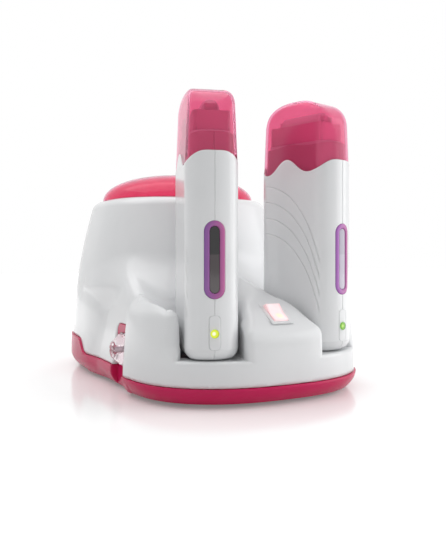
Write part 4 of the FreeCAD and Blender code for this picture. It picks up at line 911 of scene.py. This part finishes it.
# Where the painted pink glow sits on the switch frame, and how far it reaches.
PAINTED_GLOW_PLACE, PAINTED_GLOW_RADIUS = (0.0, -0.1406, 0.0700), 0.018


def steps(tree, value, stops):
    """Colour ramp through (position, colour) stops."""
    ramp = tree.nodes.new("ShaderNodeValToRGB")
    settle(ramp, {"Fac": value})
    points = ramp.color_ramp.elements
    while len(points) < len(stops):
        points.new(0.5)
    for point, (position, colour) in zip(points, stops):
        point.position = position
        point.color = (*colour, 1)
    return ramp.outputs["Color"]


def away_from(tree, place, radius):
    """Distance from a place in the object's coordinates, in radii."""
    away = tree.nodes.new("ShaderNodeVectorMath")
    away.operation = "DISTANCE"
    feed(away.inputs[0], object_place(tree))
    feed(away.inputs[1], place)
    return maths(tree, "DIVIDE", away.outputs["Value"], radius)


def lamp_lens(side, core, body, rim):
    """Lens lit from inside, its glow deepening to the rim, with a painted highlight: a bright core set left
    of its middle.
    """
    def build(tree, shader):
        reach = away_from(tree, (side * LAMP_X - LENS_HIGHLIGHT_SHIFT, LAMP_Y, LAMP_Z), 0.0045)
        glow = steps(tree, reach, [(0.16, core), (0.42, body), (0.62, body), (0.86, rim)])
        settle(shader, {"Base Color": (*(0.3 * c for c in rim), 1)})
        settle(shader, {"Emission Color": glow, "Emission Strength": 0.95})
        drift(tree, shader, noise(tree, 400, 2), 0.16, 0.04)
    return build


def lit_rocker(tree, shader):
    """Pink translucent rocker lit from below: pale top, deeper pink sides, a yellow spot over the lamp."""
    two_tone(tree, shader, noise(tree, 120, 2), (0.86, 0.68, 0.69), (0.90, 0.73, 0.74))
    spot = steps(tree, away_from(tree, SPOT_PLACE, SPOT_RADIUS),
                 [(0.10, (0.36, 0.38, 0.08)), (0.75, (0.32, 0.27, 0.275))])
    off_middle = maths(tree, "ABSOLUTE", axes_of(tree, object_place(tree))[0])
    side = remap(tree, off_middle, 0.0045, 0.0045 + 1 / 550)
    glow = blend(tree, side, spot, (0.28, 0.13, 0.14))
    relief(tree, shader, noise(tree, 900, 2), 0.00001, 0.2)
    settle(shader, {"Emission Color": glow, "Emission Strength": 1.0, "Roughness": 0.25})


def frame_with_painted_glow(tree, shader):
    """White switch frame with a painted glow: pink emission round its opening stands in for the rocker's
    light falling on it.
    """
    moulded(WHITE_DARK, WHITE_LIGHT, 0.3)(tree, shader)
    glow = steps(tree, away_from(tree, PAINTED_GLOW_PLACE, PAINTED_GLOW_RADIUS),
                 [(0.35, (0.10, 0.03, 0.035)), (0.75, (0.0, 0.0, 0.0))])
    settle(shader, {"Emission Color": glow, "Emission Strength": 1.0})


FINISHES = {
    "lit_pink": finish_node("lit_rocker", lit_rocker),
    "switch_frame": finish_node("switch_frame", frame_with_painted_glow),
    # The first colour of each lamp lens is its painted highlight; the others are the lamp's own glow.
    "left_led_lens": finish_node(
        "left_lamp_lens", lamp_lens(-1, (1, 1, 0.75), (0.62, 0.72, 0.01), (0.34, 0.40, 0.01))),
    "right_led_lens": finish_node(
        "right_lamp_lens", lamp_lens(1, (0.55, 0.80, 0.12), (0.16, 0.42, 0.02), (0.05, 0.17, 0.01))),
}

# -------------------------------------------------- metal and small parts
# The rest are the plain parts behind and under the shell: spun aluminium pot
# and well, steel band and shaft, brass contacts, board, inlet, feet, screws.
BODY_OF = {n: b for b, ns in frame["record"]["behaviour"]["bodies"].items() for n in ns}
SLOT_OF = {s["node"]: s["material_slot"] for s in frame["record"]["subparts"]}
STATION_NODES = ("well_liner", "well_seal", "band_heater", "thermal_cutoff", "wax_pot", "thermostat",
                 "knob_shaft", "switch_frame", "switch_rocker", "control_board", "board_parts", "power_inlet",
                 "inlet_pins", "rubber_feet", "case_screws")
DOCK_NODES = ("contact_block", "front_contact_pin", "rear_contact_pin", "grip_board", "contact_pads",
              "led_panel", "led_lens", "warming_sleeve", "cartridge", "cartridge_head", "roller")


def metal(tone, rough, stretch):
    """Bare metal with turned or drawn lines: noise stretched along one axis drives gloss and relief."""
    def build(tree, shader):
        lines = noise(tree, 300, 3, (1, 1, stretch))
        two_tone(tree, shader, lines, tuple(0.92 * c for c in tone), tone)
        drift(tree, shader, lines, rough, 0.06)
        relief(tree, shader, lines, 0.00003, 0.3)
        settle(shader, {"Metallic": 1.0})
    return build


def plain(tone, rough, coarse, depth):
    """Matt rubber, moulding or board: two near tones and a fine relief."""
    def build(tree, shader):
        two_tone(tree, shader, noise(tree, 90, 3), tuple(0.85 * c for c in tone), tone)
        drift(tree, shader, noise(tree, 200, 2), rough, 0.06)
        relief(tree, shader, noise(tree, coarse, 2), depth, 0.4)
    return build


def node_copy(node, bevel=0.0):
    """Copy of a CAD part with its corners merged, shaded smooth and its edges lightly rounded."""
    piece = bpy.data.objects.new("made_" + node, frame["nodes"][node].data.copy())
    bpy.context.scene.collection.objects.link(piece)
    piece.data.materials.clear()
    weld(piece, 32)
    piece.data.materials.append(FINISHES.get(node) or FINISHES[SLOT_OF[node]])
    if bevel:
        edge = piece.modifiers.new("rounded_edges", "BEVEL")
        edge.width = bevel * MM
        edge.segments = 2
        edge.limit_method = "ANGLE"
        edge.angle_limit = math.radians(50)
    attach(piece, BODY_OF[node])
    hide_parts(node)


FINISHES.update({
    "aluminium": finish_node("spun_aluminium", metal((0.80, 0.80, 0.81), 0.30, 14)),
    "steel": finish_node("drawn_steel", metal((0.60, 0.60, 0.62), 0.32, 6)),
    "brass": finish_node("plated_brass", metal((0.80, 0.62, 0.30), 0.25, 4)),
    "rubber": finish_node("foot_rubber", plain((0.035, 0.035, 0.036), 0.7, 900, 0.00006)),
    "black_plastic": finish_node("black_moulding", plain((0.022, 0.022, 0.024), 0.5, 1500, 0.00003)),
    "circuit_board": finish_node("board_green", plain((0.015, 0.10, 0.045), 0.4, 1200, 0.00003)),
    "white_plastic": white_plastic,
    # Painted shade: the cartridge heads are white plastic behind the pink caps, coloured rose for the dim,
    # pink-filtered light inside the cap, and lighter on the right.
    "left_cartridge_head": finish_node(
        "left_head_painted_shade", moulded((0.50, 0.25, 0.37), (0.54, 0.28, 0.40), 0.35, 0.2)),
    "right_cartridge_head": finish_node(
        "right_head_painted_shade", moulded((0.72, 0.41, 0.58), (0.76, 0.44, 0.61), 0.35, 0.2)),
})
for node in STATION_NODES:
    node_copy(node, 0.25 if node.startswith("switch_") else 0)
for word in SIDES:
    for node in DOCK_NODES:
        node_copy(f"{word}_{node}")

# ------------------------------------------------------ camera and light
# A table-top studio: a white sweep, a broad soft box above, a box and a fill
# at the right and two small fills at the left, with the camera low in front.
camera_data = bpy.data.cameras.new("camera")
camera_data.lens = 44.78
camera_data.sensor_width = 36
camera_data.shift_y = -0.030
camera = bpy.data.objects.new("camera", camera_data)
camera.location = (-0.2862, -0.6006, 0.1194)
camera.rotation_euler = Euler((math.radians(90), 0, math.radians(-27.4)))
bpy.context.scene.collection.objects.link(camera)
bpy.context.scene.camera = camera


def soft_box(name, place, aim_height, size, power, glossy=True):
    """Lamp at place, turned to the station's middle at a height, its size in metres and its power in watts.
    No lamp shows by itself or through plastic, and only a glossy one shows in gloss."""
    lamp = bpy.data.lights.new(name, "AREA")
    lamp.shape = "RECTANGLE"
    lamp.size, lamp.size_y = size
    lamp.energy = power
    holder = bpy.data.objects.new(name, lamp)
    holder.visible_camera = False
    holder.visible_transmission = False
    holder.visible_glossy = glossy
    holder.location = place
    aim = Vector((0, 0, aim_height)) - Vector(place)
    holder.rotation_euler = aim.to_track_quat("-Z", "Y").to_euler()
    bpy.context.scene.collection.objects.link(holder)


soft_box("top_box", (-0.3, 0.15, 1.25), 0.1, (1.3, 1.3), 8)
soft_box("rear_left_box", (-0.85, 0.6, 0.95), 0.1, (0.6, 0.6), 1.0, glossy=False)
soft_box("front_box", (-0.75, -1.25, 0.45), 0.1, (0.6, 0.6), 1.1, glossy=False)
soft_box("right_box", (1.1, -0.6, 0.5), 0.12, (1.0, 1.2), 5.5)
soft_box("right_fill", (1.15, -0.6, 0.55), 0.12, (0.7, 1.1), 5.0, glossy=False)


def white_behind(tree):
    """1 for rays from the camera, in mirrors and through glass, and 0 for the light on the object."""
    path = tree.nodes.new("ShaderNodeLightPath")
    seen = maths(tree, "MAXIMUM", path.outputs["Is Camera Ray"], path.outputs["Is Transmission Ray"])
    return maths(tree, "MAXIMUM", seen, path.outputs["Is Glossy Ray"])


world = bpy.data.worlds.new("studio")
world.use_nodes = True
bpy.context.scene.world = world
background = world.node_tree.nodes["Background"]
world_strength = remap(world.node_tree, white_behind(world.node_tree), 0, 1, 0.46, 1.0)
settle(background, {"Color": (1, 1, 1, 1), "Strength": world_strength})


def sweep(tree, shader):
    """White table: its own glow lifts the open floor to the backdrop's white and leaves the shadow."""
    lift = remap(tree, away_from(tree, (0, 0, 0), 1.0), 0.15, 0.7, 0.16, 0.9)
    glow = maths(tree, "MULTIPLY", white_behind(tree), lift)
    settle(shader, {"Base Color": (0.80, 0.80, 0.80, 1), "Roughness": 0.14})
    settle(shader, {"Emission Color": (1, 1, 1, 1), "Emission Strength": glow})


floor_corners = np.array([(x, y, 0) for y in (-3000, 3000) for x in (-3000, 3000)], float)
floor = skin("floor", floor_corners, np.array([[0, 1, 3, 2]]))
floor.data.materials.append(finish_node("floor_white", sweep))

bpy.context.scene.view_settings.view_transform = "Standard"
